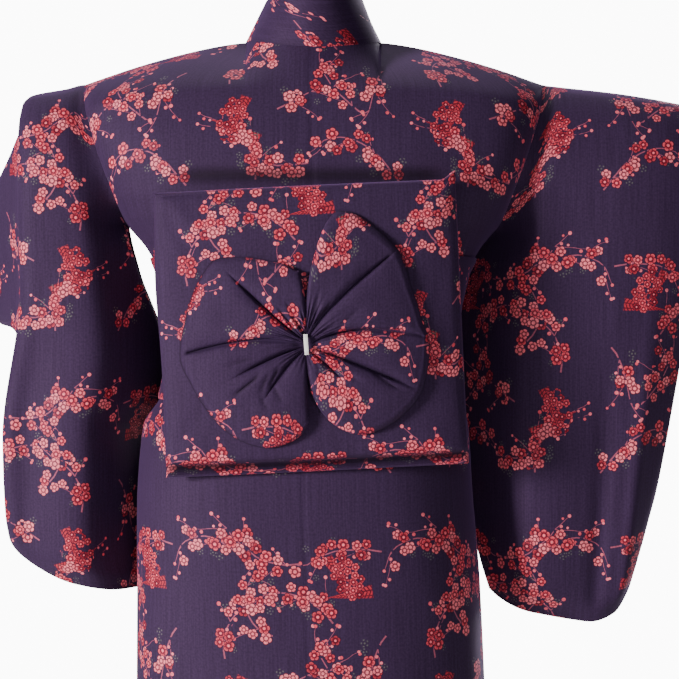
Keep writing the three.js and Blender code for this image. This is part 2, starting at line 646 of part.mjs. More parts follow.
const kimono = new THREE.Group();
const SLEEVE = { ring: true, plumb: sleevePlumb };
const leftSleeve = { rows: LEFT_SLEEVE, edge: LEFT_EDGE, foldRows: LEFT_FOLDS, side: -1, swing: leftSwing };
const rightSleeve = { rows: RIGHT_SLEEVE, edge: RIGHT_EDGE, foldRows: RIGHT_FOLDS, side: 1, swing: rightSwing };
const leftFront = frontGrid(-1);
const rightFront = frontGrid(1);
const collarLine = collarLines(leftFront, rightFront);
const collar = collarGrid(collarLine);
const neckStart = leftFront.length;
const freeEdge = collar.slice(0, neckStart).map((row) => ({ z: row[0].z, x: row[0].x }));
const press = pressed(freeEdge);
const pressRows = (grid) => grid.map((row) => row.map(press));
const collarLaid = [...collar.slice(0, neckStart), ...pressRows(collar.slice(neckStart))];

add(kimono, "back", back());
add(kimono, "front_left", wall(leftFront, WALL, { plumb: seamPlumb }));
add(kimono, "front_right", wall(pressRows(rightFront), WALL, { plumb: seamPlumb }));
add(kimono, "collar", wall(collarLaid, BAND_WALL));
add(kimono, "sleeve_left", wall(sleeveGrid(leftSleeve), WALL, SLEEVE));
add(kimono, "sleeve_right", wall(sleeveGrid(rightSleeve), WALL, SLEEVE));
add(kimono, "obi", obi());
add(kimono, "obi_panel", panel());
add(kimono, "bow_left", wing(LEFT_RIM, LEFT_GATHERS));
add(kimono, "bow_right", wing(RIGHT_RIM, RIGHT_GATHERS));
const loop = add(kimono, "tie", tie(), { color: 0xe8e6e2, roughness: 0.7, metalness: 0 });
loop.position.set(BOW.x, panelFace(BOW.x, BOW.z) - WALL - TIE.clear - PUFF[0].height, BOW.z);
loop.rotation.y = (-TIE.tilt * Math.PI) / 180;

export default kimono;
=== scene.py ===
# The look of a worn kimono with its obi, panel and bow. Lengths are in millimetres until a mesh is made.
# +Z is up, the wearer faces +Y, and the camera looks along +Y at the back.
import math

import bpy
import numpy as np
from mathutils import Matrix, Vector

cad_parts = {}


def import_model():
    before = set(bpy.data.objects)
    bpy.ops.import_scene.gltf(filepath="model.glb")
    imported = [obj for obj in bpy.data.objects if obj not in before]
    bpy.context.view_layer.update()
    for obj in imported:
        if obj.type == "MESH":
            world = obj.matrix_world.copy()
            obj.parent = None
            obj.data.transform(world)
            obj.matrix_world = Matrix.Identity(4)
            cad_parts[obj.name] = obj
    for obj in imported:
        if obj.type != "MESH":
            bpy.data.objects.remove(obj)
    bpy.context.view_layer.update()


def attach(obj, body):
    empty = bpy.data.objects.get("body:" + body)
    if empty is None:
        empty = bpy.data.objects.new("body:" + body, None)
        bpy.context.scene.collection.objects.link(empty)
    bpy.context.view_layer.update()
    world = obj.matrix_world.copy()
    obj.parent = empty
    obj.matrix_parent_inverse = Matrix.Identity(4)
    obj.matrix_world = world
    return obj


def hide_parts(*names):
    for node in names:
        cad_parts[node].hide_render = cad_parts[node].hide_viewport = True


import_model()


def table(columns, *rows):
    """Rows of numbers as dicts with named columns."""
    names = columns.split()
    return [dict(zip(names, row)) for row in rows]


# Cloth, in millimetres
CLOTH = 1.2
FOLDED_CLOTH = 2.6
LIE = 0.5  # gap between pieces that lie on each other
TIED_LEVEL = -240  # where the places on the cloth of body and sleeves are tied to the height

# How finely the pieces are divided
STEP = 4.2
SIDE_COLUMNS = 48
NECK_COLUMNS = 20
FRONT_COLUMNS = 86
COLLAR_COLUMNS = 12
SLEEVE_ROWS = 72
HALF_OBI_COLUMNS = 120
LOBE_COLUMNS = 22

# Body
TOP_Z = -62
HEM_Z = -1330
NECK_HALF = 72
NECK_DEPTH = 72
NAPE_Z = -14
SHOULDER_HALF = 245
SHOULDER_Z = -45
ARMPIT_Z = -198
SIDE_DROP = 24
FULLNESS = 0.25
NECK_SPREAD, NECK_FALL = 25, -45  # how the cloth leaves the upper edge
SHOULDER_SPREAD, SHOULDER_FALL = 75, -15
FOLD_START = 260  # the length over which a hanging fold of the back grows
CENTRE_SEAM = 0.8
HEM_RIDGE = 0.9
HEM_WIDTH = 14

# Sleeves
ARM_DEPTH = 48
SLEEVE_DROP = 545
ARMHOLE_GAP = -0.3
ARMHOLE_ROUND = 25  # the height over which the armhole closes to its lower end
SLEEVE_REACH = 90
LEFT_FLARE = 22
LEFT_FLARE_START, LEFT_FLARE_FULL = -260, -430
RIGHT_LEAN = 0.16
RIGHT_LEAN_START = -96

# Collar, obi, panel, bow and tie
COLLAR_WIDTH = 50
COLLAR_GAP = 0.9
COLLAR_RAISED = 0.8  # so that it grips the edge that it is sewn to
COLLAR_UNDERLAP = 0.05
COLLAR_LIES_Z = -125  # below this the collar lies on the fronts
UNDER = 7
UNDER_RAMP = 30
OBI_TOP = -232
OBI_BOTTOM = -382
OBI_WALL = 3
OBI_FRONT_EASE = 1.9  # more room where the obi lies over the collar and the fronts
PANEL_X = -1
PANEL_Z = -307.5
PANEL_HALF_WIDTH = 154
PANEL_HALF_HEIGHT = 145
PANEL_TILT = math.radians(2.7)
PANEL_RIM = 7
PANEL_CROWN = 15
PANEL_BEND = 10
PANEL_BULGE = 3
PANEL_EDGE = (1, 0.992, 0.984, 0.97, 0.955)  # closer rows and columns along the rim
CORNER_LIFT = 9
FOOT_PRESSED = 0.88
RIM_ROUNDED = 2.6
RIM_GROOVE = 0.9
TOP_WELT = 1.3
TUCK_Z = -151  # the fold that the panel's upper edge presses into the back, darkened with painted shade
TUCK_DEPTH = 4
BOW_X = -5.5
BOW_Z = -324
BOW_THROAT = 0.7
BOW_HALF_THROAT = 5
BOW_WALL = 2
BOW_BROAD_SINK = 0.62
BOW_CREASE_WIDTH = 1.5
BOW_CREASE_DEPTH = 4.2
BOW_RIPPLE = 1.2
BOW_WELT = 0.8
TIE_WIDTH = 3.4
TIE_HEIGHT = 20
TIE_CLEAR = 5.6
TIE_FALL = 2.8
TIE_WALL = 1.8
TIE_TILT = math.radians(4)

# Level sections of the body: half width, depth behind and before the side seams, and lean to the left.
BODY = table(
    "z width back front lean",
    (-62, 238, 94, 84, 0),
    (-112, 225, 108, 104, 0),
    (-162, 210, 113, 116, 0),
    (-197, 199, 113, 120, 0),
    (-209, 189, 113, 119, 0),
    (-223, 178, 112, 117, 0),
    (-250, 165, 111, 112, 0),
    (-310, 153, 109, 104, 0),
    (-378, 160, 111, 106, 3),
    (-410, 174, 114, 110, 8),
    (-470, 179, 118, 112, 9),
    (-580, 184, 120, 114, 5),
    (-760, 188, 119, 116, 2),
    (-1000, 190, 116, 115, 0),
    (-1330, 196, 122, 122, 0),
)

# Where each front meets the collar: 1 is the side seam, 0 the middle of the front.
FRONT_SEAM = table(
    "z share",
    (0, 0.19),
    (-62, 0.15),
    (-112, 0.075),
    (-162, -0.03),
    (-200, -0.15),
    (-240, -0.25),
    (-310, -0.36),
    (-410, -0.4),
    (-1330, -0.4),
)

# The free inner edges of the sleeves: how far out, and how far forward.
LEFT_EDGE = table(
    "z x y",
    (-198, 199, 0),
    (-213, 197, 2),
    (-236, 191, 6),
    (-255, 186, 14),
    (-277, 178, 24),
    (-297, 171, 34),
    (-340, 160, 46),
    (-378, 163, 56),
    (-410, 180, 56),
    (-470, 183, 52),
    (-590, 188, 46),
)
RIGHT_EDGE = table(
    "z x y",
    (-198, 199, 4),
    (-205, 193, 22),
    (-213, 186.5, 38),
    (-230, 173, 50),
    (-250, 164.5, 58),
    (-300, 157, 56),
    (-340, 158, 52),
    (-378, 160, 54),
    (-410, 164, 54),
    (-470, 169, 48),
    (-540, 178, 38),
    (-600, 194, 28),
)

# Half thickness of a sleeve from its top fold, 0, to its lower fold, 1, over the arm and at its inner edge.
BAG = table(
    "drop share inner",
    (0, 0, 0),
    (0.02, 0.5, 0.5),
    (0.075, 0.86, 0.86),
    (0.15, 1, 1),
    (0.22, 0.98, 0.78),
    (0.29, 0.92, 0.4),
    (0.4, 0.8, 0.24),
    (0.6, 0.62, 0.22),
    (0.85, 0.44, 0.22),
    (0.96, 0.24, 0.16),
    (1, 0, 0),
)

# Plan of each sleeve at the arm: back and front wall, and the heights of the top and lower folds.
LEFT_SLEEVE = table(
    "s backX backY frontX frontY top bottom",
    (0, 205, -48, 205, 48, SHOULDER_Z, SHOULDER_Z - SLEEVE_DROP),
    (0.14, 236, -52, 232, 48, -46, -590),
    (0.28, 266, -56, 260, 50, -50, -582),
    (0.42, 297, -52, 288, 54, -54, -554),
    (0.52, 313, -36, 304, 62, -58, -526),
    (0.6, 315, -8, 306, 76, -66, -480),
    (0.75, 332, 36, 310, 100, -94, -324),
    (0.88, 356, 74, 318, 126, -130, -306),
    (1, 380, 110, 328, 152, -160, -302),
)
RIGHT_SLEEVE = table(
    "s backX backY frontX frontY top bottom",
    (0, 205, -48, 205, 48, SHOULDER_Z, SHOULDER_Z - SLEEVE_DROP),
    (0.25, 262, -54, 258, 46, -48, -612),
    (0.5, 320, -54, 316, 46, -54, -622),
    (0.7, 366, -50, 360, 52, -60, -614),
    (0.85, 400, -42, 394, 62, -65, -590),
    (0.93, 418, -36, 412, 68, -67, -556),
    (1, 434, -30, 428, 74, -70, -508),
)

# Soft hanging folds: place, width, depth, and where each starts.
LEFT_FOLDS = table(
    "s width depth start",
    (0.1, 0.07, -12, 0.2),
    (0.27, 0.08, 9, 0.3),
    (0.4, 0.05, -6, 0.35),
)
RIGHT_FOLDS = table(
    "s width depth start",
    (0.1, 0.07, -13, 0.2),
    (0.3, 0.09, 7, 0.3),
    (0.52, 0.07, -6, 0.4),
    (0.76, 0.08, 6, 0.3),
)
BACK_FOLDS = table(
    "share width depth start",
    (-0.72, 0.12, 5, -430),
    (-0.42, 0.1, -4, -620),
    (0.02, 0.14, 4, -700),
    (0.45, 0.1, -4, -560),
    (0.76, 0.1, 5, -430),
)

# The bow's outline from its middle, and its gathers, which bend round a point beside the tie.
LEFT_RIM = table(
    "angle radius",
    (98, 75),
    (104, 82),
    (116, 94),
    (128, 112),
    (140, 127),
    (153, 126),
    (168, 125),
    (187, 129),
    (198, 124),
    (215, 120),
    (228, 119),
    (245, 114),
    (259, 102),
    (267, 91),
    (272, 78),
)
RIGHT_RIM = table(
    "angle radius",
    (86.5, 76),
    (84, 98),
    (80, 128),
    (76, 139),
    (70, 140),
    (61, 137),
    (46, 133),
    (25, 120),
    (12, 119),
    (1, 125),
    (-9, 125),
    (-20, 126),
    (-40, 119),
    (-59, 106),
    (-75, 76),
    (-84, 48),
)
LEFT_GATHERS = table(
    "rim outX upZ depth reach",
    (96, 2, 50, 0.4, 1.2),
    (118, -10, 24, 0.5, 0.5),
    (137, -22, 14, 0.85, 0.95),
    (160, -30, 14, 0.4, 0.4),
    (185, -38, 16, 0.9, 1.2),
    (206, -32, -10, 0.7, 0.8),
    (236, -22, -17, 0.75, 0.75),
    (272, 0.5, -28, 0.4, 1.2),
)
RIGHT_GATHERS = table(
    "rim outX upZ depth reach",
    (86.5, -1.5, 50, 0.4, 1.2),
    (67, 6, 26, 0.5, 0.5),
    (46, 11, 32, 0.9, 1.1),
    (24, 36, 30, 0.4, 0.45),
    (3, 50, 27, 0.85, 1.1),
    (-22, 50, -18, 0.9, 1),
    (-46, 26, -20, 0.6, 0.6),
    (-84, 0.5, -24, 0.4, 1.2),
)
PUFF = table(
    "out height",
    (0, 4),
    (0.1, 5),
    (0.2, 9),
    (0.36, 12.5),
    (0.6, 13.5),
    (0.82, 11),
    (0.94, 8),
    (0.985, 5),
    (1, 1.2),
)


# Small tools


def mix(a, b, t):
    return a + (b - a) * t


def smooth(start, end, x):
    t = np.clip((x - start) / (end - start), 0, 1)
    return t * t * (3 - 2 * t)


def bump(middle, width, x):
    return np.exp(-(((x - middle) / width) ** 2))


def points(x, y, z):
    return np.stack(np.broadcast_arrays(x, y, z), -1).astype(float)


def unit(way):
    return way / np.maximum(np.linalg.norm(way, axis=-1, keepdims=True), 1e-9)


def hermite(start, leave, end, arrive, t):
    """The place at t on the curve from start to end, with its ways out of the one and into the other."""
    t2, t3 = t * t, t * t * t
    near = start * (2 * t3 - 3 * t2 + 1) + leave * (t3 - 2 * t2 + t)
    return near + end * (3 * t2 - 2 * t3) + arrive * (t3 - t2)


def curve(rows, key, column):
    """The column of a table as a smooth function of its key, which never overshoots a row."""
    ordered = sorted(rows, key=lambda row: row[key])
    xs = np.array([row[key] for row in ordered], float)
    ys = np.array([row[column] for row in ordered], float)
    steps = np.diff(ys) / np.diff(xs)
    product = steps[:-1] * steps[1:]
    total = np.where(product > 0, steps[:-1] + steps[1:], 1)
    inner = np.where(product > 0, 2 * product / total, 0)
    slopes = np.concatenate([steps[:1], inner, steps[-1:]])

    def at(x):
        inside = np.clip(x, xs[0], xs[-1])
        i = np.clip(np.searchsorted(xs, inside, side="left") - 1, 0, len(xs) - 2)
        h = xs[i + 1] - xs[i]
        return hermite(ys[i], h * slopes[i], ys[i + 1], h * slopes[i + 1], (inside - xs[i]) / h)

    return at


def normals(grid, ring=False):
    """Unit normals of a grid of points, which point out where columns cross rows."""
    if ring:
        across = np.roll(grid, -1, 1) - np.roll(grid, 1, 1)
    else:
        wide = np.concatenate([grid[:, :1], grid, grid[:, -1:]], 1)
        across = wide[:, 2:] - wide[:, :-2]
    tall = np.concatenate([grid[:1], grid, grid[-1:]])
    down = tall[2:] - tall[:-2]
    return unit(np.cross(across, down))


def lengths(grid, axis):
    """The way gone to each point of a grid, down its columns on axis 0 and along its rows on axis 1."""
    steps = np.linalg.norm(np.diff(grid, axis=axis), axis=2)
    return np.insert(np.cumsum(steps, axis), 0, 0, axis)


def refine(values, step):
    """The values with evenly spaced ones added, so that none are further apart than step."""
    fine = [values[0]]
    for start, end in zip(values, values[1:]):
        count = max(1, math.ceil(abs(end - start) / step))
        fine.extend(np.linspace(start, end, count + 1)[1:])
    return np.array(fine)


def waves(grid, size, seed, amount=1.0):
    """Smooth uneven numbers up to about amount over a grid of points, in lumps of about that size."""
    rng = np.random.default_rng(seed)
    total = np.zeros(grid.shape[:-1])
    for _ in range(7):
        way = rng.normal(size=3)
        way *= rng.uniform(0.6, 1.5) * 2 * np.pi / (size * np.linalg.norm(way))
        total += np.sin(grid @ way + rng.uniform(0, 2 * np.pi))
    return total * amount / 4


def crease(grid, row, middle=(0, 0)):
    """A ridge, or a soft trough where the row's depth is below 0, between the row's places, seen along Y."""
    start = np.array([row["x0"], row["z0"]]) + middle
    run = np.array([row["x1"], row["z1"]]) + middle - start
    length = np.linalg.norm(run)
    place = (grid[..., [0, 2]] - start) / length
    along = place @ run / length
    off = place @ np.array([-run[1], run[0]])
    sway = row["width"] * 0.5 * np.sin(along * 5 + row["depth"] * 3)
    ends = smooth(-0.1, 0.3, along) * (1 - smooth(0.65, 1.1, along))
    return row["depth"] * bump(sway, row["width"], off) * ends


# Body

width_at = curve(BODY, "z", "width")
back_at = curve(BODY, "z", "back")
front_at = curve(BODY, "z", "front")
lean_at = curve(BODY, "z", "lean")
bag_at = curve(BAG, "drop", "share")
inner_bag_at = curve(BAG, "drop", "inner")
seam_share_at = curve(FRONT_SEAM, "z", "share")


def end_z(z):
    return z - SIDE_DROP * np.maximum(0, (z - ARMPIT_Z) / (TOP_Z - ARMPIT_Z))


def armhole_depth(z):
    closing = np.minimum(1, np.sqrt(np.maximum(0, z - ARMPIT_Z) / ARMHOLE_ROUND))
    depth = ARM_DEPTH * inner_bag_at((SHOULDER_Z - z) / SLEEVE_DROP) * closing
    return np.where(z <= ARMPIT_Z, 0, depth)


def section_point(face, share, z):
    """A point of a level section. face is -1 behind and 1 before, share goes from the left seam, -1, to 1."""
    angle = share * np.pi / 2
    c = np.cos(angle)
    end = armhole_depth(end_z(z))
    depth = back_at(z) if face < 0 else front_at(z)
    full = c + FULLNESS * c * (1 - c * c)
    fold = 0
    if face < 0:
        for row in BACK_FOLDS:
            hanging = smooth(row["start"], row["start"] - FOLD_START, z)
            fold = fold + row["depth"] * bump(row["share"], row["width"], share) * hanging
    y = end + (depth - end) * full + fold * np.minimum(1, 3 * (1 - np.abs(share)))
    level = mix(z, end_z(z), share * share)
    return points(width_at(z) * np.sin(angle) - lean_at(z), face * y, level)


def top_point(face, share):
    """The upper edge: the neck curve at the back, and the shoulder lines."""
    x = SHOULDER_HALF * np.sin(share * np.pi / 2)
    beyond = np.maximum(0, np.abs(x) - NECK_HALF) / (SHOULDER_HALF - NECK_HALF)
    rounded = np.sqrt(np.maximum(0, 1 - (x / NECK_HALF) ** 2)) if face < 0 else 0 * x
    z = np.where(beyond > 0, SHOULDER_Z * beyond**1.4, NAPE_Z * rounded**2)
    return points(x, -NECK_DEPTH * rounded, z)


def body_point(face, share, z):
    """A point of the back or front at any height from 0, the upper edge, to HEM_Z."""
    share, z = np.broadcast_arrays(np.asarray(share, float), np.asarray(z, float))
    low = section_point(face, share, np.minimum(z, TOP_Z))
    start = top_point(face, share)
    end = section_point(face, share, np.full_like(share, TOP_Z))
    below = section_point(face, share, np.full_like(share, TOP_Z - 1.0))
    shoulder = smooth(0.15, 0.4, np.abs(share))
    spread, fall = mix(NECK_SPREAD, SHOULDER_SPREAD, shoulder), mix(NECK_FALL, SHOULDER_FALL, shoulder)
    leave = points(0 * share, face * spread, fall)
    arrive = (below - end) * (start[..., 2] - end[..., 2])[..., None]
    high = hermite(start, leave, end, arrive, (z / TOP_Z)[..., None])
    return np.where((z <= TOP_Z)[..., None], low, high)


BODY_LEVELS = refine([0, TOP_Z, ARMPIT_Z - 2, OBI_TOP, OBI_BOTTOM, -500, HEM_Z], STEP)
ARM_LEVELS = refine([0, TOP_Z, -172, -200], 7)
NECK_SHARE = math.asin(NECK_HALF / SHOULDER_HALF) * 2 / math.pi


def front_grid(side):
    """The points of a front: side is -1 for the left one, which lies outside, and 1 for the right one."""
    z = BODY_LEVELS[:, None]
    across = np.linspace(0, 1, FRONT_COLUMNS)[None, :]
    if side > 0:
        across = across[:, ::-1]
    shares = mix(1, seam_share_at(z), across)
    return body_point(1, side * shares, z + 0 * shares)


# Collar


def collar_lines(left, right, neck):
    """The collar's seam line, and the ways across it and out of it, from the left hem to the right one."""
    left_ways, right_ways = normals(left), normals(right)
    line = [left[::-1, -1], neck, right[:, 0]]
    aside = np.abs(neck[:, 0]) / NECK_HALF
    neck_ways = unit(points(neck[:, 0], neck[:, 1], mix(-14, 30, aside * aside)))
    edge_ways = []
    for p, way in ((line[0], left_ways[::-1, -1]), (line[2], right_ways[:, 0])):
        lift = smooth(-95, -5, p[:, 2])[:, None]
        aside_way = points(np.sign(p[:, 0]) * 0.9, 0 * p[:, 0], 0.43 + 0 * p[:, 0])
        edge_ways.append(unit(mix(way, aside_way, lift)))
    outward = np.concatenate([edge_ways[0], neck_ways, edge_ways[1]])
    line = np.concatenate(line)
    long = np.concatenate([line[:1], line, line[-1:]])
    along = unit(long[2:] - long[:-2])
    return line, unit(np.cross(outward, along))


def front_face(x, z):
    """How far forward the front lies at a place, below TOP_Z."""
    level = z
    share = 0 * x
    for _ in range(4):
        out = np.minimum(1, np.abs(x + lean_at(level)) / width_at(level))
        share = np.arcsin(out) * 2 / np.pi
        level = np.minimum(TOP_Z, z + (level - end_z(level)) * share * share)
    return section_point(1, share, level)[..., 1]


def collar_grid(line, across):
    """Rows of points from the collar's free edge to its seam. It stands at the neck and lies on the chest."""
    shares = np.linspace(1, -COLLAR_UNDERLAP, COLLAR_COLUMNS)[None, :, None]
    grid = line[:, None] + across[:, None] * (COLLAR_GAP + shares * COLLAR_WIDTH)
    lying = np.where(line[:, 1] > 0, 1 - smooth(COLLAR_LIES_Z, TOP_Z, line[:, 2]), 0)[:, None]
    face = front_face(grid[..., 0], grid[..., 2])
    grid[..., 1] = np.where(lying > 0, mix(grid[..., 1], face, lying), grid[..., 1])
    return grid


def press(grid, edge_z, edge_x):
    """The right front or collar pressed in, where the left one covers it."""
    order = np.argsort(edge_z)
    edge = np.interp(grid[..., 2], edge_z[order], edge_x[order])
    deep = UNDER * smooth(0, UNDER_RAMP, edge + UNDER_RAMP - grid[..., 0])
    reach = np.hypot(grid[..., 0], grid[..., 1])
    pressed = grid.copy()
    pressed[..., :2] *= (1 - deep / reach)[..., None]
    return pressed


# Sleeves

ARMHOLE = body_point(1, 1.0, ARM_LEVELS)


def inner_edge(edge, drop, face):
    """The armhole's edge at a height, or the sleeve's own inner edge below it."""
    z = mix(SHOULDER_Z, SHOULDER_Z - SLEEVE_DROP, drop)
    spread_y = face * ARM_DEPTH * inner_bag_at(drop)
    clear = smooth(ARMPIT_Z, ARMPIT_Z - 20, z)
    low_x = curve(edge, "z", "x")(z)
    low_y = curve(edge, "z", "y")(z) + spread_y * mix(0.4, 1, clear)
    heights = ARMHOLE[::-1, 2]
    high_x = np.interp(z, heights, ARMHOLE[::-1, 0])
    high_y = face * np.interp(z, heights, ARMHOLE[::-1, 1])
    return np.where(z <= ARMPIT_Z, low_x, high_x), np.where(z <= ARMPIT_Z, low_y, high_y)


def sleeve_point(rows, edge, fold_rows, side, swing, face, s, drop):
    """A point of a sleeve. s goes from the armhole, 0, to the cuff, and drop from its top, 0, to its foot."""
    at = {name: curve(rows, "s", name)(s) for name in rows[0] if name != "s"}
    z = mix(at["top"], at["bottom"], drop)
    inner_x, inner_y = inner_edge(edge, drop, face)
    share = bag_at(drop)
    mid_x, off_x = (at["frontX"] + at["backX"]) / 2, (at["frontX"] - at["backX"]) / 2 * face * share
    mid_y, off_y = (at["frontY"] + at["backY"]) / 2, (at["frontY"] - at["backY"]) / 2 * face * share
    fold = 0
    for row in fold_rows:
        hanging = smooth(row["start"], row["start"] + 0.4, drop) * (1 - smooth(0.94, 1, drop))
        fold = fold + row["depth"] * bump(row["s"], row["width"], s) * hanging
    own = smooth(0, 0.46, s)
    x = mix(inner_x + ARMHOLE_GAP, mid_x, own) + s * SLEEVE_REACH * (1 - own) + off_x + swing(s, z)
    y = mix(mid_y + off_y - fold, inner_y, 1 - smooth(0, 0.26, s))
    return points(side * x, y, z)


def left_swing(s, z):
    return LEFT_FLARE * smooth(LEFT_FLARE_START, LEFT_FLARE_FULL, z) * smooth(0.1, 0.5, s)


def right_swing(s, z):
    return -RIGHT_LEAN * np.maximum(0, RIGHT_LEAN_START - z) * s * s


def sleeve_grid(rows, edge, fold_rows, side, swing):
    """Rings of points round a sleeve, from the armhole to the cuff."""
    s = np.linspace(0, 1, SLEEVE_ROWS)[:, None]
    arm = [(SHOULDER_Z - p[2]) / SLEEVE_DROP for p in ARMHOLE[1:]]
    drops = refine([0, *arm, 0.34, 0.94, 0.98, 0.9995, 1], 0.01)[None, :]
    rear = sleeve_point(rows, edge, fold_rows, side, swing, -1, s, drops)
    fore = sleeve_point(rows, edge, fold_rows, side, swing, 1, s, drops[:, ::-1])
    ring = np.concatenate([rear[:, :-1], fore[:, :-1]], 1)
    return ring[:, ::-1] if side < 0 else ring


def sleeve_cloth(ring, side, origin):
    """The places of a sleeve's points on flat cloth, which is folded at the top and sewn up at its foot."""
    closed = np.concatenate([ring, ring[:, :1]], 1)
    arc = lengths(closed, 1)
    half = ring.shape[1] // 2
    column = np.arange(2 * half + 1)
    if side > 0:
        behind = column < half
        down = np.where(behind, arc, arc[:, -1:] - arc)
    else:
        behind = (column >= half) & (column < 2 * half)
        down = np.where(behind, arc[:, [-2]] - arc, arc[:, [-1]] - arc[:, [-2]] + arc)
        down[:, -1] = down[:, 0]
    away = np.where(behind, np.abs(closed[..., 2] - TIED_LEVEL), np.inf)
    rows, level = np.arange(len(ring)), away.argmin(1)
    top = (closed[rows, level, 2] + down[rows, level])[:, None]
    v = top + np.where(behind, -down, down)
    u = side * lengths(closed[..., :2], 0)
    middle = len(ring) // 2
    u = u - u[middle] + closed[middle, :, 0]
    return np.stack([u, v], -1) + np.array(origin)


# Obi, panel, bow and tie


def obi_grids():
    """The outer and inner points of the obi, a band round the body."""
    z = refine([OBI_TOP, OBI_BOTTOM], STEP)[:, None]
    shares = np.linspace(-1, 1, HALF_OBI_COLUMNS)[None, :] + 0 * z
    rear = body_point(-1, shares[:, ::-1], z)
    fore = body_point(1, shares[:, 1:-1], z)
    facing = np.concatenate([rear, fore], 1)
    ways = normals(facing, ring=True)
    ways[..., 2] = 0
    ways = unit(ways)
    loose = LIE + OBI_FRONT_EASE * smooth(0, 30, facing[..., 1])
    inner = facing + ways * loose[..., None]
    edges = 1 - 0.45 * (bump(OBI_TOP, 2, z) + bump(OBI_BOTTOM, 2, z))
    wrinkle = waves(facing * (0.4, 0.4, 3), size=60, seed=11, amount=0.7)
    wrinkle = wrinkle * smooth(70, 120, np.abs(facing[..., 0]))
    return inner + ways * (OBI_WALL * edges + wrinkle)[..., None], inner


def panel_inner(x, z):
    return PANEL_BEND * (x / PANEL_HALF_WIDTH) ** 2 - (back_at(z) + OBI_WALL + 2 * LIE)


def panel_crown(u, v):
    return PANEL_CROWN * np.sqrt(np.maximum(0, (1 - u**4) * (1 - v**4)))


def panel_grids():
    """The padded panel's outer and inner points, with its welt, rolled foot and raised corner, and painted
    shade in the groove over its foot.
    """
    far_edge = [-u for u in reversed(PANEL_EDGE)]
    us = np.array([*PANEL_EDGE, *np.linspace(0.93, -0.93, 96), *far_edge])[None, :]
    vs = np.array([*PANEL_EDGE, *np.linspace(0.93, -0.93, 100), *far_edge])[:, None]
    soft = PANEL_BULGE * bump(0.35, 0.4, vs) * np.maximum(0, -us)
    a, b = us * PANEL_HALF_WIDTH - soft, vs * PANEL_HALF_HEIGHT + 0 * us
    lift = CORNER_LIFT * smooth(0.89, 1, us) ** 1.5 * smooth(0.9, 1, vs)
    cos, sin = math.cos(PANEL_TILT), math.sin(PANEL_TILT)
    x = PANEL_X + a * cos - b * sin
    z = PANEL_Z + a * sin + (b + lift) * cos
    roll = 1 - FOOT_PRESSED * bump(-0.945, 0.028, vs)
    thickness = (PANEL_RIM + panel_crown(us, vs)) * roll
    inset = np.minimum((1 - np.abs(us)) * PANEL_HALF_WIDTH, (1 - np.abs(vs)) * PANEL_HALF_HEIGHT)
    thickness = thickness - RIM_ROUNDED * np.exp(-inset / 1.6) - RIM_GROOVE * bump(4.8, 1.0, inset)
    thickness = thickness + TOP_WELT * bump(2.2, 1.2, (1 - vs) * PANEL_HALF_HEIGHT)
    inner = points(x, panel_inner(x, z), z)
    outer = points(x, panel_inner(x, z) - thickness, z)
    detail = waves(outer, size=70, seed=5, amount=0.6) * smooth(2, 30, inset)
    for row in PANEL_CREASES:
        detail = detail + crease(outer, row) * smooth(0, 12, inset)
    outer[..., 1] -= detail
    # Painted shade along the groove above the rolled foot, weaker towards the corners.
    painted_foot_shade = bump(-0.935, 0.034, vs) * (1 - 0.4 * smooth(0.93, 1, np.abs(us)))
    return outer, inner, painted_foot_shade


def panel_face(x, z):
    """The panel's outer face at a place on it."""
    dx, dz = x - PANEL_X, z - PANEL_Z
    u = (dx * math.cos(PANEL_TILT) + dz * math.sin(PANEL_TILT)) / PANEL_HALF_WIDTH
    v = (dz * math.cos(PANEL_TILT) - dx * math.sin(PANEL_TILT)) / PANEL_HALF_HEIGHT
    return panel_inner(x, z) - PANEL_RIM - panel_crown(u, v)


PANEL_CREASES = table(
    "x0 z0 x1 z1 width depth",
    (-150, -170, -96, -222, 7, 0.9),
    (-146, -186, -112, -262, 6, -0.8),
    (150, -168, 98, -214, 8, 1.1),
    (146, -196, 120, -300, 7, -0.8),
    (-150, -432, -104, -394, 8, -0.9),
    (148, -436, 104, -404, 8, 0.9),
    (-60, -440, 60, -436, 9, 0.7),
    (-100, -190, 10, -184, 8, -0.7),
)

puff_at = curve(PUFF, "out", "height")

# Short creases of the bow between its gathers, from its middle.
BOW_CREASES = table(
    "x0 z0 x1 z1 width depth",
    (-9, 12, -32, 40, 1.6, -1.6),
    (-6, 16, -20, 44, 1.4, -1.2),
    (-28, -22, -36, -44, 1.6, -1.8),
    (-34, -40, -22, -60, 1.6, -1.6),
    (-38, -28, -46, -52, 1.7, -1.6),
    (-46, -50, -36, -70, 1.6, -1.3),
    (-44, -27, -78, -56, 1.7, -2.2),
    (-52, -14, -82, -22, 1.8, -1.3),
    (8, 18, 26, 46, 1.5, -1.8),
    (6, 26, 14, 54, 1.4, -1.2),
    (22, 10, 60, 40, 2.2, -0.9),
    (24, -16, 56, -40, 1.8, -1.2),
    (10, -20, 24, -52, 1.8, -1.0),
    (60, -24, 102, -50, 1.6, -1.6),
)


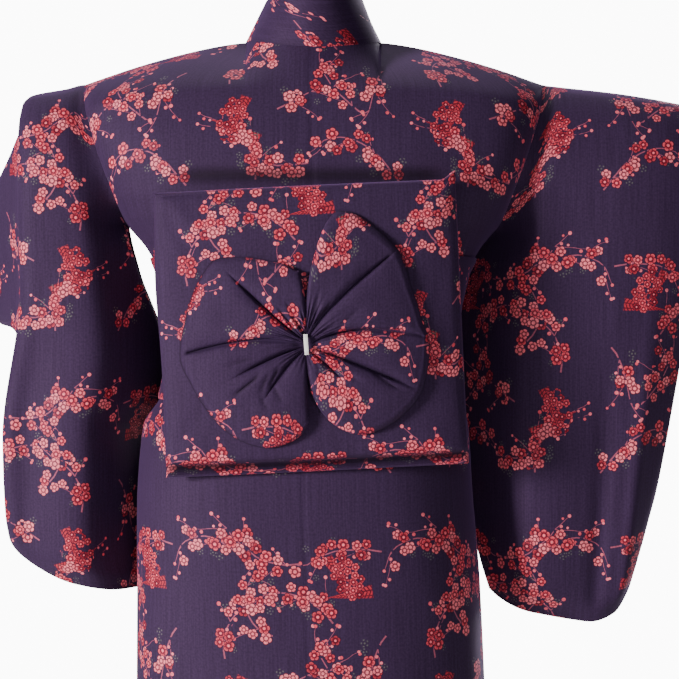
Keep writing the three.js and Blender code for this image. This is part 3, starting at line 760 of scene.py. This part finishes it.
def lobe_height(column, k, t, out, radius):
    """How far a wing's lobes stand out between gathers k and k + 1, and the painted shade in its sharp folds.
    """
    depth, reach = column["depth"], column["reach"]
    first = depth[k] * (1 - smooth(reach[k] - 0.3, reach[k], out))
    last = depth[k + 1] * (1 - smooth(reach[k + 1] - 0.3, reach[k + 1], out))
    fade = 1 - smooth(0.93, 1, out)
    broad = mix(first, last, smooth(0.3, 0.7, t)) * (1 - np.sqrt(np.sin(np.pi * t))) * smooth(0, 0.2, out)
    height = BOW_WALL + LIE + puff_at(out) * (1 - BOW_BROAD_SINK * broad * (1 - smooth(0.8, 1, out)))
    arc = np.radians(np.abs(column["rim"][k + 1] - column["rim"][k])) * (5 + out * radius)
    line = mix(BOW_CREASE_WIDTH, 1.7 * BOW_CREASE_WIDTH, 1 - out)
    sharp = first * bump(0, 1, t * arc / line) + last * bump(0, 1, (1 - t) * arc / line)
    lip = first * np.exp(-t * arc / 9) * smooth(0, 2, t * arc)
    height = height + (2 * lip - BOW_CREASE_DEPTH * sharp) * smooth(0.04, 0.2, out) * fade
    # The second value is painted shade along the sharp folds.
    return height, np.clip(sharp, 0, 1) * smooth(0.1, 0.25, out) * fade


def wing_grid(rim, gathers):
    """The points of a bow wing, a fan of puffed lobes, with their places on flat cloth and their painted
    shade.
    """
    count = len(gathers) - 1
    within = 0.5 - 0.5 * np.cos(np.linspace(0, np.pi, LOBE_COLUMNS + 1)[:-1])
    lobe = np.append((np.arange(count)[:, None] + within).ravel(), count)[None, :]
    out = np.array([*np.linspace(0, 0.86, 52), *np.linspace(0.87, 1, 14)])[:, None]
    if rim is LEFT_RIM:
        lobe = lobe[:, ::-1]
    k = np.minimum(np.floor(lobe), count - 1).astype(int)
    t = lobe - k
    column = {name: np.array([row[name] for row in gathers], float) for name in gathers[0]}
    between = {name: mix(values[k], values[k + 1], t) for name, values in column.items()}
    radius = curve(rim, "angle", "radius")(between["rim"])
    turn = np.radians(between["rim"])
    side = np.sign(gathers[0]["outX"])

    def bend(start, by, end):
        return (1 - out) ** 2 * start + 2 * out * (1 - out) * by + out * out * end

    throat_z = BOW_HALF_THROAT * (1 - 2 * lobe / count)
    x = BOW_X + bend(side * BOW_THROAT, between["outX"], radius * np.cos(turn))
    z = BOW_Z + bend(throat_z, between["upZ"], radius * np.sin(turn))
    flat = points(x, 0 * x, z)
    height, shade = lobe_height(column, k, t, out, radius)
    flatten = 1 - smooth(0.8, 1, out)
    pinch = smooth(0.02, 0.12, out) * (1 - smooth(0.22, 0.55, out))
    ripple = np.cos(2 * np.pi * (lobe * 3 + 0.35 * np.sin(lobe * 2.1))) * (0.7 + 0.3 * np.sin(lobe * 1.7))
    soft = waves(flat, size=30, seed=3, amount=0.5) * smooth(0.2, 0.5, out) * flatten
    height = height + BOW_RIPPLE * ripple * pinch + soft
    for row in BOW_CREASES:
        cut = crease(flat, row, (BOW_X, BOW_Z)) * flatten
        height = height + cut
        # Painted shade in the short creases.
        shade = np.maximum(shade, -0.35 * cut)
    height = height + BOW_WELT * bump(0.965, 0.012, out)
    # A thin line of painted shade along the rim, where the wing meets the panel.
    shade = np.maximum(shade, 0.8 * smooth(0.985, 1, out))
    cloth = np.stack([(x - BOW_X) * 1.12, (z - BOW_Z) * (1 + 0.9 * (1 - out) ** 2)], -1)
    return points(x, panel_face(x, z) - height, z), cloth, shade


# Pattern: plum branches on one repeat of the cloth, in millimetres

REPEAT = np.array([220.0, 300.0])

# Branches: start, heading in degrees, length, how much each turns, and how thickly it flowers.
BRANCHES = table(
    "x y heading length turn flowering",
    (24, 42, 62, 92, -70, 1.0),
    (60, 112, 20, 74, 60, 0.9),
    (118, 60, -20, 80, 80, 0.9),
    (172, 44, 100, 84, -60, 1.0),
    (150, 118, 140, 66, 50, 0.7),
    (34, 176, -50, 62, -40, 0.7),
    (88, 190, 50, 86, -60, 1.0),
    (150, 176, 15, 70, 70, 1.0),
    (200, 150, 80, 70, 40, 0.7),
    (36, 262, 15, 84, -60, 0.9),
    (118, 250, -15, 90, 60, 1.0),
    (188, 262, 40, 66, -60, 0.8),
)
# Dense flower patches: middle, half sizes and tilt.
PATCHES = table(
    "x y half_width half_height tilt",
    (196, 108, 15, 26, 12),
    (72, 236, 14, 22, -24),
)
# Thick hatched trunks: start, heading, length and half width.
TRUNKS = table(
    "x y heading length half",
    (170, 84, 28, 52, 9),
    (182, 132, -68, 46, 7),
    (48, 222, -8, 44, 8),
    (92, 256, -120, 40, 7),
)
BRANCH_STEP = 8.0
SHOOT_STEP = 7.0
PATCH_STEP = 7.6
FLOWER, BUD, GHOST = 1, 2, 3
TWIG, TRUNK = 1, 2


def heading_ways(heading):
    """The unit vectors along a heading in degrees, and to its left."""
    turn = math.radians(heading)
    return np.array([math.cos(turn), math.sin(turn)]), np.array([-math.sin(turn), math.cos(turn)])


def grow_pattern(seed):
    """The flowers (x, y, radius, turn, kind, tone) and twigs (x, y, x, y, half, half, kind) of one repeat."""
    rng = np.random.default_rng(seed)
    flowers, twigs = [], []

    def flower(place, radius, kind=FLOWER, low=0.15, high=0.95):
        flowers.append((*place, radius, rng.uniform(0, 2 * np.pi), kind, rng.uniform(low, high)))

    def aside(low, high):
        return rng.choice([-1, 1]) * rng.uniform(low, high)

    def twig(start, heading, step, half, taper):
        way, left = heading_ways(heading)
        end = start + way * step
        twigs.append((*start, *end, half, half * taper, TWIG))
        return end, way, left

    def shoot(place, heading, length, half, flowering):
        gone = 0.0
        while gone < length:
            heading += rng.uniform(-14, 14)
            place, _, left = twig(place, heading, SHOOT_STEP, half * (1 - 0.6 * gone / length), 0.9)
            gone += SHOOT_STEP
            if rng.random() < flowering and gone < length * 0.7:
                flower(place + left * aside(2, 6), rng.uniform(5.0, 6.4))
            elif rng.random() < 0.55:
                flower(place + left * aside(1.8, 3.2), rng.uniform(1.5, 2.4), BUD)
        flower(place, rng.uniform(1.6, 2.6), BUD)

    for row in BRANCHES:
        place, heading = np.array([row["x"], row["y"]], float), row["heading"]
        count = round(row["length"] / BRANCH_STEP)
        for i in range(count):
            heading += row["turn"] / count + rng.uniform(-9, 9)
            place, way, left = twig(place, heading, BRANCH_STEP, mix(1.05, 0.6, i / count), 0.94)
            for side in (-1, 1):
                if rng.random() < 0.66 * row["flowering"] and i < count - 1:
                    off = side * rng.uniform(3.4, 8.4)
                    slide = rng.uniform(-2.5, 2.5)
                    flower(place + left * off + way * slide, rng.uniform(5.2, 6.9))
            if i % 3 == 1:
                shoot(place, heading + aside(32, 58), rng.uniform(16, 34), 0.6, 0.5)
            if rng.random() < 0.5:
                flower(place + left * aside(11, 17), rng.uniform(3.4, 4.8), GHOST)
        shoot(place, heading + rng.uniform(-20, 20), 20, 0.6, 0.25)
    for row in TRUNKS:
        start = np.array([row["x"], row["y"]], float)
        end = start + heading_ways(row["heading"])[0] * row["length"]
        twigs.append((*start, *end, row["half"], 0.6, TRUNK))
    for row in PATCHES:
        middle = np.array([row["x"], row["y"]], float)
        way, left = heading_ways(row["tilt"])
        for i in range(-4, 5):
            for j in range(-5, 6):
                px, py = (i + 0.5 * (j % 2)) * PATCH_STEP, j * PATCH_STEP * 0.87
                if (px / row["half_width"]) ** 2 + (py / row["half_height"]) ** 2 > 1:
                    continue
                px, py = px + rng.uniform(-0.8, 0.8), py + rng.uniform(-0.8, 0.8)
                flower(middle + way * px + left * py, 4.4, FLOWER, 0.05, 0.5)
    order = rng.permutation(len(flowers))
    flowers = sorted((flowers[i] for i in order), key=lambda row: row[4] == FLOWER)
    return np.array(flowers), np.array(twigs)


FLOWERS, TWIGS = grow_pattern(seed=12)
FLOWER_SLOTS = 3
TWIG_SLOTS = 2


def nearest_copy(centre, place):
    """How far to move an element by whole repeats, so that its place comes nearest to each centre."""
    return np.round((centre - place) / REPEAT) * REPEAT


def pick(centre, reach, elements, distance, slots):
    """For each face, the elements over it, the upper ones first. -1 is none."""
    chosen = np.full((len(centre), slots), -1)
    for i, element in enumerate(elements):
        hit = distance(element, centre) < reach
        chosen[hit, 1:] = chosen[hit, :-1]
        chosen[hit, 0] = i
    return chosen


def flower_distance(row, centre):
    off = centre - row[:2] - nearest_copy(centre, row[:2])
    return np.hypot(off[:, 0], off[:, 1]) - row[2]


def twig_frame(row, place, centre):
    """Along and across a twig, from its start, for places near each centre."""
    shift = nearest_copy(centre, (row[:2] + row[2:4]) / 2)
    length = math.hypot(row[2] - row[0], row[3] - row[1])
    way = (row[2:4] - row[:2]) / length
    off = place - row[:2] - shift
    return off @ way, off @ np.array([-way[1], way[0]]), length


def twig_distance(row, centre):
    along, across, length = twig_frame(row, centre, centre)
    beyond = np.maximum(0, np.maximum(-along, along - length))
    return np.hypot(beyond, np.maximum(0, np.abs(across) - np.maximum(row[4], row[5])))


def paint(mesh, corners):
    """Stores the flowers and twigs over each face in its corners, in their own coordinates."""
    centre = corners.mean(1)
    reach = np.linalg.norm(corners - centre[:, None], axis=2).max(1)
    flowers = pick(centre, reach, FLOWERS, flower_distance, FLOWER_SLOTS)
    for slot in range(FLOWER_SLOTS):
        values = np.zeros((len(corners), 4, 3))
        used = flowers[:, slot] >= 0
        row = FLOWERS[flowers[used, slot]]
        shift = nearest_copy(centre[used], row[:, :2])
        off = (corners[used] - (row[:, :2] + shift)[:, None]) / row[:, 2][:, None, None]
        cos, sin = np.cos(row[:, 3])[:, None], np.sin(row[:, 3])[:, None]
        values[used, :, 0] = off[..., 0] * cos + off[..., 1] * sin
        values[used, :, 1] = off[..., 1] * cos - off[..., 0] * sin
        values[used, :, 2] = (row[:, 4] * 2 + row[:, 5] * 0.98)[:, None]
        store(mesh, f"flower_{slot + 1}", values)
    twigs = pick(centre, reach, TWIGS, twig_distance, TWIG_SLOTS)
    for slot in range(TWIG_SLOTS):
        values = np.zeros((len(corners), 4, 3))
        for i in np.unique(twigs[:, slot]):
            if i < 0:
                continue
            used = twigs[:, slot] == i
            row = TWIGS[i]
            middle = np.repeat(centre[used], 4, 0)
            along, across, length = twig_frame(row, corners[used].reshape(-1, 2), middle)
            share = along / length
            half = np.maximum(0.2, mix(row[4], row[5], np.clip(share, 0, 1)))
            values[used, :, 0] = share.reshape(-1, 4)
            values[used, :, 1] = (across / half).reshape(-1, 4)
            values[used, :, 2] = row[6] + length / 100
        store(mesh, f"twig_{slot + 1}", values)


def store(mesh, name, values):
    attribute = mesh.attributes.new(name, "FLOAT_VECTOR", "CORNER")
    attribute.data.foreach_set("vector", values.astype(np.float32).ravel())


# Meshes


def cloth_places(grid, ring, origin, level=None):
    """Arc lengths across and down a grid, from its middle column and its first row.

    With a level, the places down each column are tied to its height there instead."""
    closed = np.concatenate([grid, grid[:, :1]], 1) if ring else grid
    u, v = lengths(closed, 1), -lengths(closed, 0)
    u = u - u[:, [u.shape[1] // 2]]
    if level is not None:
        near = np.abs(closed[..., 2] - level).argmin(0)
        columns = np.arange(closed.shape[1])
        v = v - v[near, columns] + closed[near, columns, 2]
    return np.stack([u, v], -1) + np.array(origin)


def shell(name, outer, inner, material, ring=False, cloth=None, origin=(0, 0), level=None, shade=None):
    """A closed shell between two grids of points, with the cloth's own places as its UV map."""
    rows, columns = outer.shape[:2]
    if cloth is None:
        cloth = cloth_places(outer, ring, origin, level)
    last = columns if ring else columns - 1
    along, down = np.arange(last), np.arange(rows - 1)
    r, c = [m.ravel() for m in np.meshgrid(down, along, indexing="ij")]
    top, foot, start, end = 0 * along, 0 * along + rows - 1, 0 * down, 0 * down + last
    quads = [
        ((r, r, r + 1, r + 1), (c, c + 1, c + 1, c), (0, 0, 0, 0)),
        ((r, r + 1, r + 1, r), (c, c, c + 1, c + 1), (1, 1, 1, 1)),
        ((top,) * 4, (along, along, along + 1, along + 1), (0, 1, 1, 0)),
        ((foot,) * 4, (along, along + 1, along + 1, along), (0, 0, 1, 1)),
    ]
    if not ring:
        quads.append(((down, down + 1, down + 1, down), (start,) * 4, (0, 0, 1, 1)))
        quads.append(((down, down, down + 1, down + 1), (end,) * 4, (0, 1, 1, 0)))
    row = np.concatenate([np.stack(q[0], 1) for q in quads])
    column = np.concatenate([np.stack(q[1], 1) for q in quads])
    layer = np.concatenate([np.tile(q[2], (len(q[0][0]), 1)) for q in quads])
    index = layer * rows * columns + row * columns + column % columns
    mesh = bpy.data.meshes.new(name)
    places = np.concatenate([outer.reshape(-1, 3), inner.reshape(-1, 3)]) / 1000
    mesh.from_pydata(places.tolist(), [], index.tolist())
    corners = cloth[row, column]
    uv = mesh.uv_layers.new(name="cloth")
    uv.data.foreach_set("uv", (corners / 1000).astype(np.float32).ravel())
    if material is BROCADE:
        paint(mesh, corners)
    # shade is painted shade for each outer point, which darkens the brocade's colour in folds and grooves;
    # the inner points get none.
    if shade is not None:
        depth = mesh.attributes.new("painted_fold_shade", "FLOAT", "POINT")
        depth.data.foreach_set("value", np.append(shade, 0 * shade).astype(np.float32))
    mesh.polygons.foreach_set("use_smooth", [True] * len(mesh.polygons))
    mesh.set_sharp_from_angle(angle=math.radians(48))
    mesh.materials.append(material)
    piece = bpy.data.objects.new(name, mesh)
    bpy.context.scene.collection.objects.link(piece)
    return piece


def wall(name, outer, thickness, material, ring=False, plumb=None, detail=None, **options):
    """A shell of even thickness. detail raises its outer and inner points together."""
    ways = normals(outer, ring)
    if plumb:
        plumb(ways, outer)
        ways = unit(ways)
    raised = outer if detail is None else outer + ways * detail[..., None]
    return shell(name, raised, raised - ways * thickness, material, ring, **options)


def seam_plumb(ways, grid):
    """Keeps the walls of back and fronts on their own sides of the side seams."""
    ways[..., 1] = np.where(np.abs(grid[..., 1]) <= 0.01, 0, ways[..., 1])


def sleeve_plumb(ways, grid):
    """Keeps a sleeve's wall from reaching into the body at the armhole."""
    ways[0, :, 0] = 0


# Materials


def connect(tree, target, value):
    """Feeds a socket with a value, another socket or a plain number or colour."""
    if isinstance(value, Value):
        value = value.socket
    if isinstance(value, bpy.types.NodeSocket):
        tree.links.new(value, target)
    else:
        target.default_value = value


def add(tree, kind, inputs=(), **settings):
    """A new node, with what feeds its sockets by their names or numbers."""
    node = tree.nodes.new(kind)
    for name, value in settings.items():
        setattr(node, name, value)
    for socket, value in dict(inputs).items():
        connect(tree, node.inputs[socket], value)
    return node


class Value:
    """A number in a node tree, which takes sums with other values and with plain numbers."""

    def __init__(self, tree, socket):
        self.tree, self.socket = tree, socket

    def maths(self, operation, *others):
        node = add(self.tree, "ShaderNodeMath", enumerate((self, *others)), operation=operation)
        return Value(self.tree, node.outputs[0])

    def ramp(self, start, end, low=0.0, high=1.0):
        """A soft step between start and end."""
        inputs = enumerate((self, start, end, low, high))
        node = add(self.tree, "ShaderNodeMapRange", inputs, interpolation_type="SMOOTHSTEP")
        return Value(self.tree, node.outputs[0])

    def band(self, middle, half):
        """1 at the middle, falling to 0 at half away from it."""
        return (self - middle).maths("ABSOLUTE").ramp(half, 0.0)

    def equals(self, number):
        return self.maths("COMPARE", float(number), 0.4)

    def most(self, other):
        return self.maths("MAXIMUM", other)

    def __add__(self, other):
        return self.maths("ADD", other)

    def __sub__(self, other):
        return self.maths("SUBTRACT", other)

    def __mul__(self, other):
        return self.maths("MULTIPLY", other)


def blend(tree, share, low, high):
    return add(tree, "ShaderNodeMix", {"Factor": share, 6: low, 7: high}, data_type="RGBA").outputs[2]


def new_group(name):
    tree = bpy.data.node_groups.new(name, "ShaderNodeTree")
    tree.interface.new_socket("Place", in_out="INPUT", socket_type="NodeSocketVector")
    tree.interface.new_socket("Mask", in_out="OUTPUT", socket_type="NodeSocketFloat")
    tree.interface.new_socket("Colour", in_out="OUTPUT", socket_type="NodeSocketColor")
    entry = add(tree, "NodeGroupInput")
    split = add(tree, "ShaderNodeSeparateXYZ", {0: entry.outputs[0]})
    return tree, [Value(tree, socket) for socket in split.outputs]


def close_group(tree, mask, colour):
    add(tree, "NodeGroupOutput", {"Mask": mask, "Colour": colour})
    return tree


GROUND = (0.025, 0.012, 0.037, 1)
GROUND_LIT = (0.034, 0.017, 0.05, 1)
DEEP_RED = (0.24, 0.005, 0.014, 1)
CORAL = (0.7, 0.045, 0.07, 1)
SALMON = (1, 0.22, 0.26, 1)
PETAL_LINE = (0.03, 0.003, 0.01, 1)
GHOST_GREY = (0.1, 0.095, 0.09, 1)
TWIG_MAUVE = (0.34, 0.075, 0.12, 1)
TRUNK_RED = (0.5, 0.03, 0.045, 1)
TAPE_WHITE = (0.93, 0.91, 0.87, 1)
FLOOR_WHITE = (0.92, 0.91, 0.89, 1)


def flower_group():
    """Draws a plum flower, a bud or a faint dotted flower round the middle of its own coordinates."""
    tree, (x, y, code) = new_group("plum flower")
    kind = (code * 0.5).maths("FLOOR")
    tone = code - kind * 2.0
    out = (x * x + y * y).maths("SQRT")
    turn = y.maths("ARCTAN2", x)
    lobe = (turn * 2.5).maths("COSINE").maths("ABSOLUTE")
    inward = lobe.maths("POWER", 0.6) * 0.3 + 0.7 - out
    between = lobe.ramp(0.5, 0.12) * out.ramp(0.3, 0.5)
    dark = between.most(out.band(0.4, 0.2)).most(inward.ramp(0.12, 0.02))
    petals = blend(tree, tone.ramp(0.0, 0.55), DEEP_RED, CORAL)
    petals = blend(tree, tone.ramp(0.45, 1.0), petals, SALMON)
    petals = blend(tree, inward.band(0.16, 0.16) * (tone * 0.9), petals, SALMON)
    petals = blend(tree, dark * 0.94, petals, PETAL_LINE)
    petals = blend(tree, out.ramp(0.28, 0.16) * 0.8, petals, SALMON)
    is_flower, is_bud, is_ghost = [kind.equals(number) for number in (FLOWER, BUD, GHOST)]
    dotted = out.band(0.72, 0.26) * (turn * 5.0).maths("COSINE").ramp(-0.1, 0.5)
    dotted = dotted.most(out.ramp(0.3, 0.12))
    mask = (is_flower * inward.ramp(-0.1, -0.02)).most(is_bud * out.ramp(1.0, 0.75)).most(is_ghost * dotted)
    colour = blend(tree, is_bud, petals, blend(tree, tone, CORAL, SALMON))
    return close_group(tree, mask, blend(tree, is_ghost, colour, GHOST_GREY))


def twig_group():
    """Draws a thin twig, or a thick trunk with hatched bark, along its own coordinates."""
    tree, (share, across, code) = new_group("plum twig")
    kind = code.maths("FLOOR")
    length = (code - kind) * 100.0
    off = across.maths("ABSOLUTE")
    within = share.ramp(-0.04, 0.0) * share.ramp(1.04, 1.0)
    mask = within * off.ramp(1.0, 0.7) * code.maths("GREATER_THAN", 0.5)
    hatch = ((off * -4.0 + share * length) * 1.7).maths("SINE")
    spine = (across * 9.0).maths("SINE")
    dark = hatch.ramp(0.1, 0.6).most(spine.ramp(0.5, 0.95))
    bark = blend(tree, dark * 0.85, TRUNK_RED, PETAL_LINE)
    return close_group(tree, mask, blend(tree, kind.equals(TRUNK), TWIG_MAUVE, bark))


def new_material(name):
    """A material with its node tree and its shader's sockets."""
    material = bpy.data.materials.new(name)
    material.use_nodes = True
    return material, material.node_tree, material.node_tree.nodes["Principled BSDF"].inputs


def noise(tree, place, across, along, detail):
    """Soft noise over the cloth, from its scale across and along it."""
    stretched = add(tree, "ShaderNodeMapping", {"Vector": place, "Scale": (across, along, 1)}).outputs[0]
    made = add(tree, "ShaderNodeTexNoise", {"Vector": stretched, "Scale": 1, "Detail": detail})
    return Value(tree, made.outputs[0])


def stored(tree, name):
    """The sockets of a value that the mesh stores."""
    return add(tree, "ShaderNodeAttribute", attribute_name=name).outputs


def brocade():
    """Dark aubergine satin with woven plum branches, its colour darkened by painted shade where a piece
    stores it.
    """
    material, tree, look = new_material("brocade")
    uv = add(tree, "ShaderNodeUVMap", uv_map="cloth").outputs[0]
    streak = noise(tree, uv, 650, 16, detail=3).ramp(0.3, 0.7)
    colour = blend(tree, streak, GROUND, GROUND_LIT)
    threads = Value(tree, 0.0)
    twig, flower = twig_group(), flower_group()
    layers = [(f"twig_{slot}", twig) for slot in range(TWIG_SLOTS, 0, -1)]
    layers += [(f"flower_{slot}", flower) for slot in range(FLOWER_SLOTS, 0, -1)]
    for name, group in layers:
        drawn = tree.nodes.new("ShaderNodeGroup")
        drawn.node_tree = group
        connect(tree, drawn.inputs[0], stored(tree, name)["Vector"])
        colour = blend(tree, drawn.outputs["Mask"], colour, drawn.outputs["Colour"])
        threads = threads.most(drawn.outputs["Mask"])
    speckle = noise(tree, uv, 420, 420, detail=2).ramp(0.25, 0.7, 0.72, 1.1)
    # Painted shade stored on the mesh darkens the base colour, down to 0.12 of it in the deepest folds.
    open_to_light = Value(tree, stored(tree, "painted_fold_shade")["Fac"]).ramp(0.0, 1.0, 1.0, 0.12)
    scaling = {0: colour, "Scale": speckle * open_to_light}
    shaded = add(tree, "ShaderNodeVectorMath", scaling, operation="SCALE")
    connect(tree, look["Base Color"], shaded.outputs[0])
    connect(tree, look["Roughness"], threads.ramp(0.0, 1.0, 0.72, 0.55))
    woven = {"Strength": 0.35, "Distance": 0.0003, "Height": threads * 0.7 + streak * 0.3}
    connect(tree, look["Normal"], add(tree, "ShaderNodeBump", woven).outputs[0])
    look["Specular IOR Level"].default_value = 0.26
    look["Sheen Weight"].default_value = 0.16
    look["Sheen Roughness"].default_value = 0.4
    look["Sheen Tint"].default_value = (0.62, 0.34, 0.9, 1)
    look["Specular Tint"].default_value = (0.92, 0.62, 1, 1)
    return material


def plain(name, colour, roughness):
    material, _, look = new_material(name)
    look["Base Color"].default_value = colour
    look["Roughness"].default_value = roughness
    return material


# Assembly

BROCADE = brocade()
TAPE = plain("tape", TAPE_WHITE, roughness=0.7)


def dress(piece, node):
    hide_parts(node)
    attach(piece, "root")
    return piece


def back():
    """The back's points, how far each stands out of the plain form, and the painted shade in the tuck above
    the panel.
    """
    beside_neck = np.linspace(NECK_SHARE, 0, NECK_COLUMNS)[1:]
    shares = np.concatenate([np.linspace(1, NECK_SHARE, SIDE_COLUMNS), beside_neck])
    shares = np.concatenate([shares, -shares[-2::-1]])
    grid = body_point(-1, shares[None, :] + 0 * BODY_LEVELS[:, None], BODY_LEVELS[:, None])
    seam = -CENTRE_SEAM * bump(0, 0.006, shares)[None, :]
    hem = HEM_RIDGE * bump(HEM_Z + HEM_WIDTH, 2, grid[..., 2])
    soft = waves(grid * (1, 1, 0.3), size=90, seed=21, amount=1.2) * smooth(0, -80, grid[..., 2])
    soft = soft * np.minimum(1, 6 * (1 - np.abs(shares)))[None, :]
    tucked = bump(TUCK_Z, 9, grid[..., 2]) * (1 - smooth(115, 155, np.abs(grid[..., 0])))
    # The tuck is pressed in, and painted shade darkens it.
    return grid, seam + hem + soft - TUCK_DEPTH * tucked, 0.75 * tucked


body_cloth = {"plumb": seam_plumb, "level": TIED_LEVEL}
back_points, detail, shade = back()
piece = wall(
    "kimono_back", back_points, CLOTH, BROCADE, detail=detail, shade=shade, origin=(114, 198), **body_cloth
)
dress(piece, "back")

left_front, right_front = front_grid(-1), front_grid(1)
neck_line = back_points[0][np.abs(back_points[0][:, 0]) < NECK_HALF - 1][::-1]
seam_line, seam_across = collar_lines(left_front, right_front, neck_line)
collar = collar_grid(seam_line, seam_across)
left_rows = len(left_front)
edge_z, edge_x = collar[:left_rows, 0, 2], collar[:left_rows, 0, 0]
collar[left_rows:] = press(collar[left_rows:], edge_z, edge_x)
right_front = press(right_front, edge_z, edge_x)

piece = wall("left_front", left_front, CLOTH, BROCADE, origin=(120, 60), **body_cloth)
dress(piece, "front_left")
piece = wall("right_front", right_front, CLOTH, BROCADE, origin=(60, 150), **body_cloth)
dress(piece, "front_right")
raised = np.full(collar.shape[:2], COLLAR_RAISED)
piece = wall("collar_band", collar, FOLDED_CLOTH, BROCADE, detail=raised, origin=(40, 0))
dress(piece, "collar")

left = sleeve_grid(LEFT_SLEEVE, LEFT_EDGE, LEFT_FOLDS, -1, left_swing)
left_cloth = sleeve_cloth(left, -1, (219, 54))
piece = wall("left_sleeve", left, CLOTH, BROCADE, ring=True, plumb=sleeve_plumb, cloth=left_cloth)
dress(piece, "sleeve_left")
right = sleeve_grid(RIGHT_SLEEVE, RIGHT_EDGE, RIGHT_FOLDS, 1, right_swing)
right_cloth = sleeve_cloth(right, 1, (159, 204))
piece = wall("right_sleeve", right, CLOTH, BROCADE, ring=True, plumb=sleeve_plumb, cloth=right_cloth)
dress(piece, "sleeve_right")

piece = shell("obi_band", *obi_grids(), BROCADE, ring=True, origin=(0, 130))
dress(piece, "obi")
panel_outer, panel_back, panel_shade = panel_grids()
piece = shell("obi_panel_cover", panel_outer, panel_back, BROCADE, origin=(78, 252), shade=panel_shade)
dress(piece, "obi_panel")

for name, node, rim, gathers, origin in (
    ("left_bow_wing", "bow_left", LEFT_RIM, LEFT_GATHERS, (108, 48)),
    ("right_bow_wing", "bow_right", RIGHT_RIM, RIGHT_GATHERS, (132, 264)),
):
    grid, cloth, shade = wing_grid(rim, gathers)
    piece = wall(name, grid, CLOTH, BROCADE, cloth=cloth + np.array(origin), shade=shade)
    dress(piece, node)


def tie_grid():
    """A short strap over the gathers, bent down at both ends."""
    v = np.linspace(-1, 1, 33)[:, None]
    u = np.linspace(-1, 1, 9)[None, :]
    half = TIE_HEIGHT / 2
    fall = TIE_FALL * smooth(0.5, 1, np.abs(v)) + 0.25 * u * u
    x = u * TIE_WIDTH / 2 * (1 - 0.08 * bump(0, 0.4, v))
    face = panel_face(BOW_X, BOW_Z) - BOW_WALL - PUFF[0]["height"] - TIE_CLEAR
    turned_x = x * math.cos(TIE_TILT) - v * half * math.sin(TIE_TILT)
    turned_z = v * half * math.cos(TIE_TILT) + x * math.sin(TIE_TILT)
    return points(BOW_X + turned_x, face + fall, BOW_Z + turned_z)[::-1]


piece = wall("tie_strap", tie_grid(), TIE_WALL, TAPE)
dress(piece, "tie")

# Camera, floor and lights, in metres

CAMERA = (0.028, -2.15, -0.319)
FOCAL = 106
FLOOR_HALF = 3.2
FLOOR_Z = HEM_Z / 1000 - 0.006
LIGHTS = table(
    "name place target size power colour",
    ("key", (-4.7, -3.3, 0.2), (0, 0, -0.3), 1.3, 560, (1, 0.98, 0.96)),
    ("fill", (0.5, -3.2, 0.5), (0.1, 0, -0.3), 1.2, 19, (0.95, 0.95, 1)),
    ("top", (-0.2, 0.6, 2.4), (0, 0, -0.3), 1.6, 36, (1, 1, 1)),
    ("front", (1.8, 3.0, 0.4), (0, 0, -0.5), 1.8, 130, (1, 1, 1)),
)


def place_in_scene(name, data, place):
    made = bpy.data.objects.new(name, data)
    made.location = place
    bpy.context.scene.collection.objects.link(made)
    return made


def camera():
    made = place_in_scene("camera", bpy.data.cameras.new("camera"), CAMERA)
    made.data.lens = FOCAL
    made.data.sensor_width = 36
    made.rotation_euler = (math.radians(90), 0, 0)
    bpy.context.scene.camera = made


def light(name, place, target, size, power, colour):
    made = place_in_scene(name, bpy.data.lights.new(name, "AREA"), place)
    made.data.shape = "SQUARE"
    made.data.size = size
    made.data.energy = power
    made.data.color = colour
    way = Vector(target) - Vector(place)
    made.rotation_euler = way.to_track_quat("-Z", "Y").to_euler()


def floor():
    mesh = bpy.data.meshes.new("floor")
    signs = ((-1, -1), (1, -1), (1, 1), (-1, 1))
    mesh.from_pydata([(x * FLOOR_HALF, y * FLOOR_HALF, 0) for x, y in signs], [], [range(4)])
    mesh.materials.append(plain("floor", FLOOR_WHITE, roughness=0.8))
    place_in_scene("floor", mesh, (0, 0, FLOOR_Z))


def world(colour, strength, white):
    """Soft light of one strength all round, in front of a plain white background."""
    made = bpy.data.worlds.new("studio")
    made.use_nodes = True
    tree = made.node_tree
    soft = tree.nodes["Background"]
    soft.inputs[0].default_value = colour
    soft.inputs[1].default_value = strength
    plain_white = add(tree, "ShaderNodeBackground", {1: white})
    seen = add(tree, "ShaderNodeLightPath").outputs["Is Camera Ray"]
    both = add(tree, "ShaderNodeMixShader", {0: seen, 1: soft.outputs[0], 2: plain_white.outputs[0]})
    connect(tree, tree.nodes["World Output"].inputs["Surface"], both.outputs[0])
    bpy.context.scene.world = made


camera()
floor()
for row in LIGHTS:
    light(**row)
world((0.86, 0.89, 1, 1), strength=0.055, white=14)
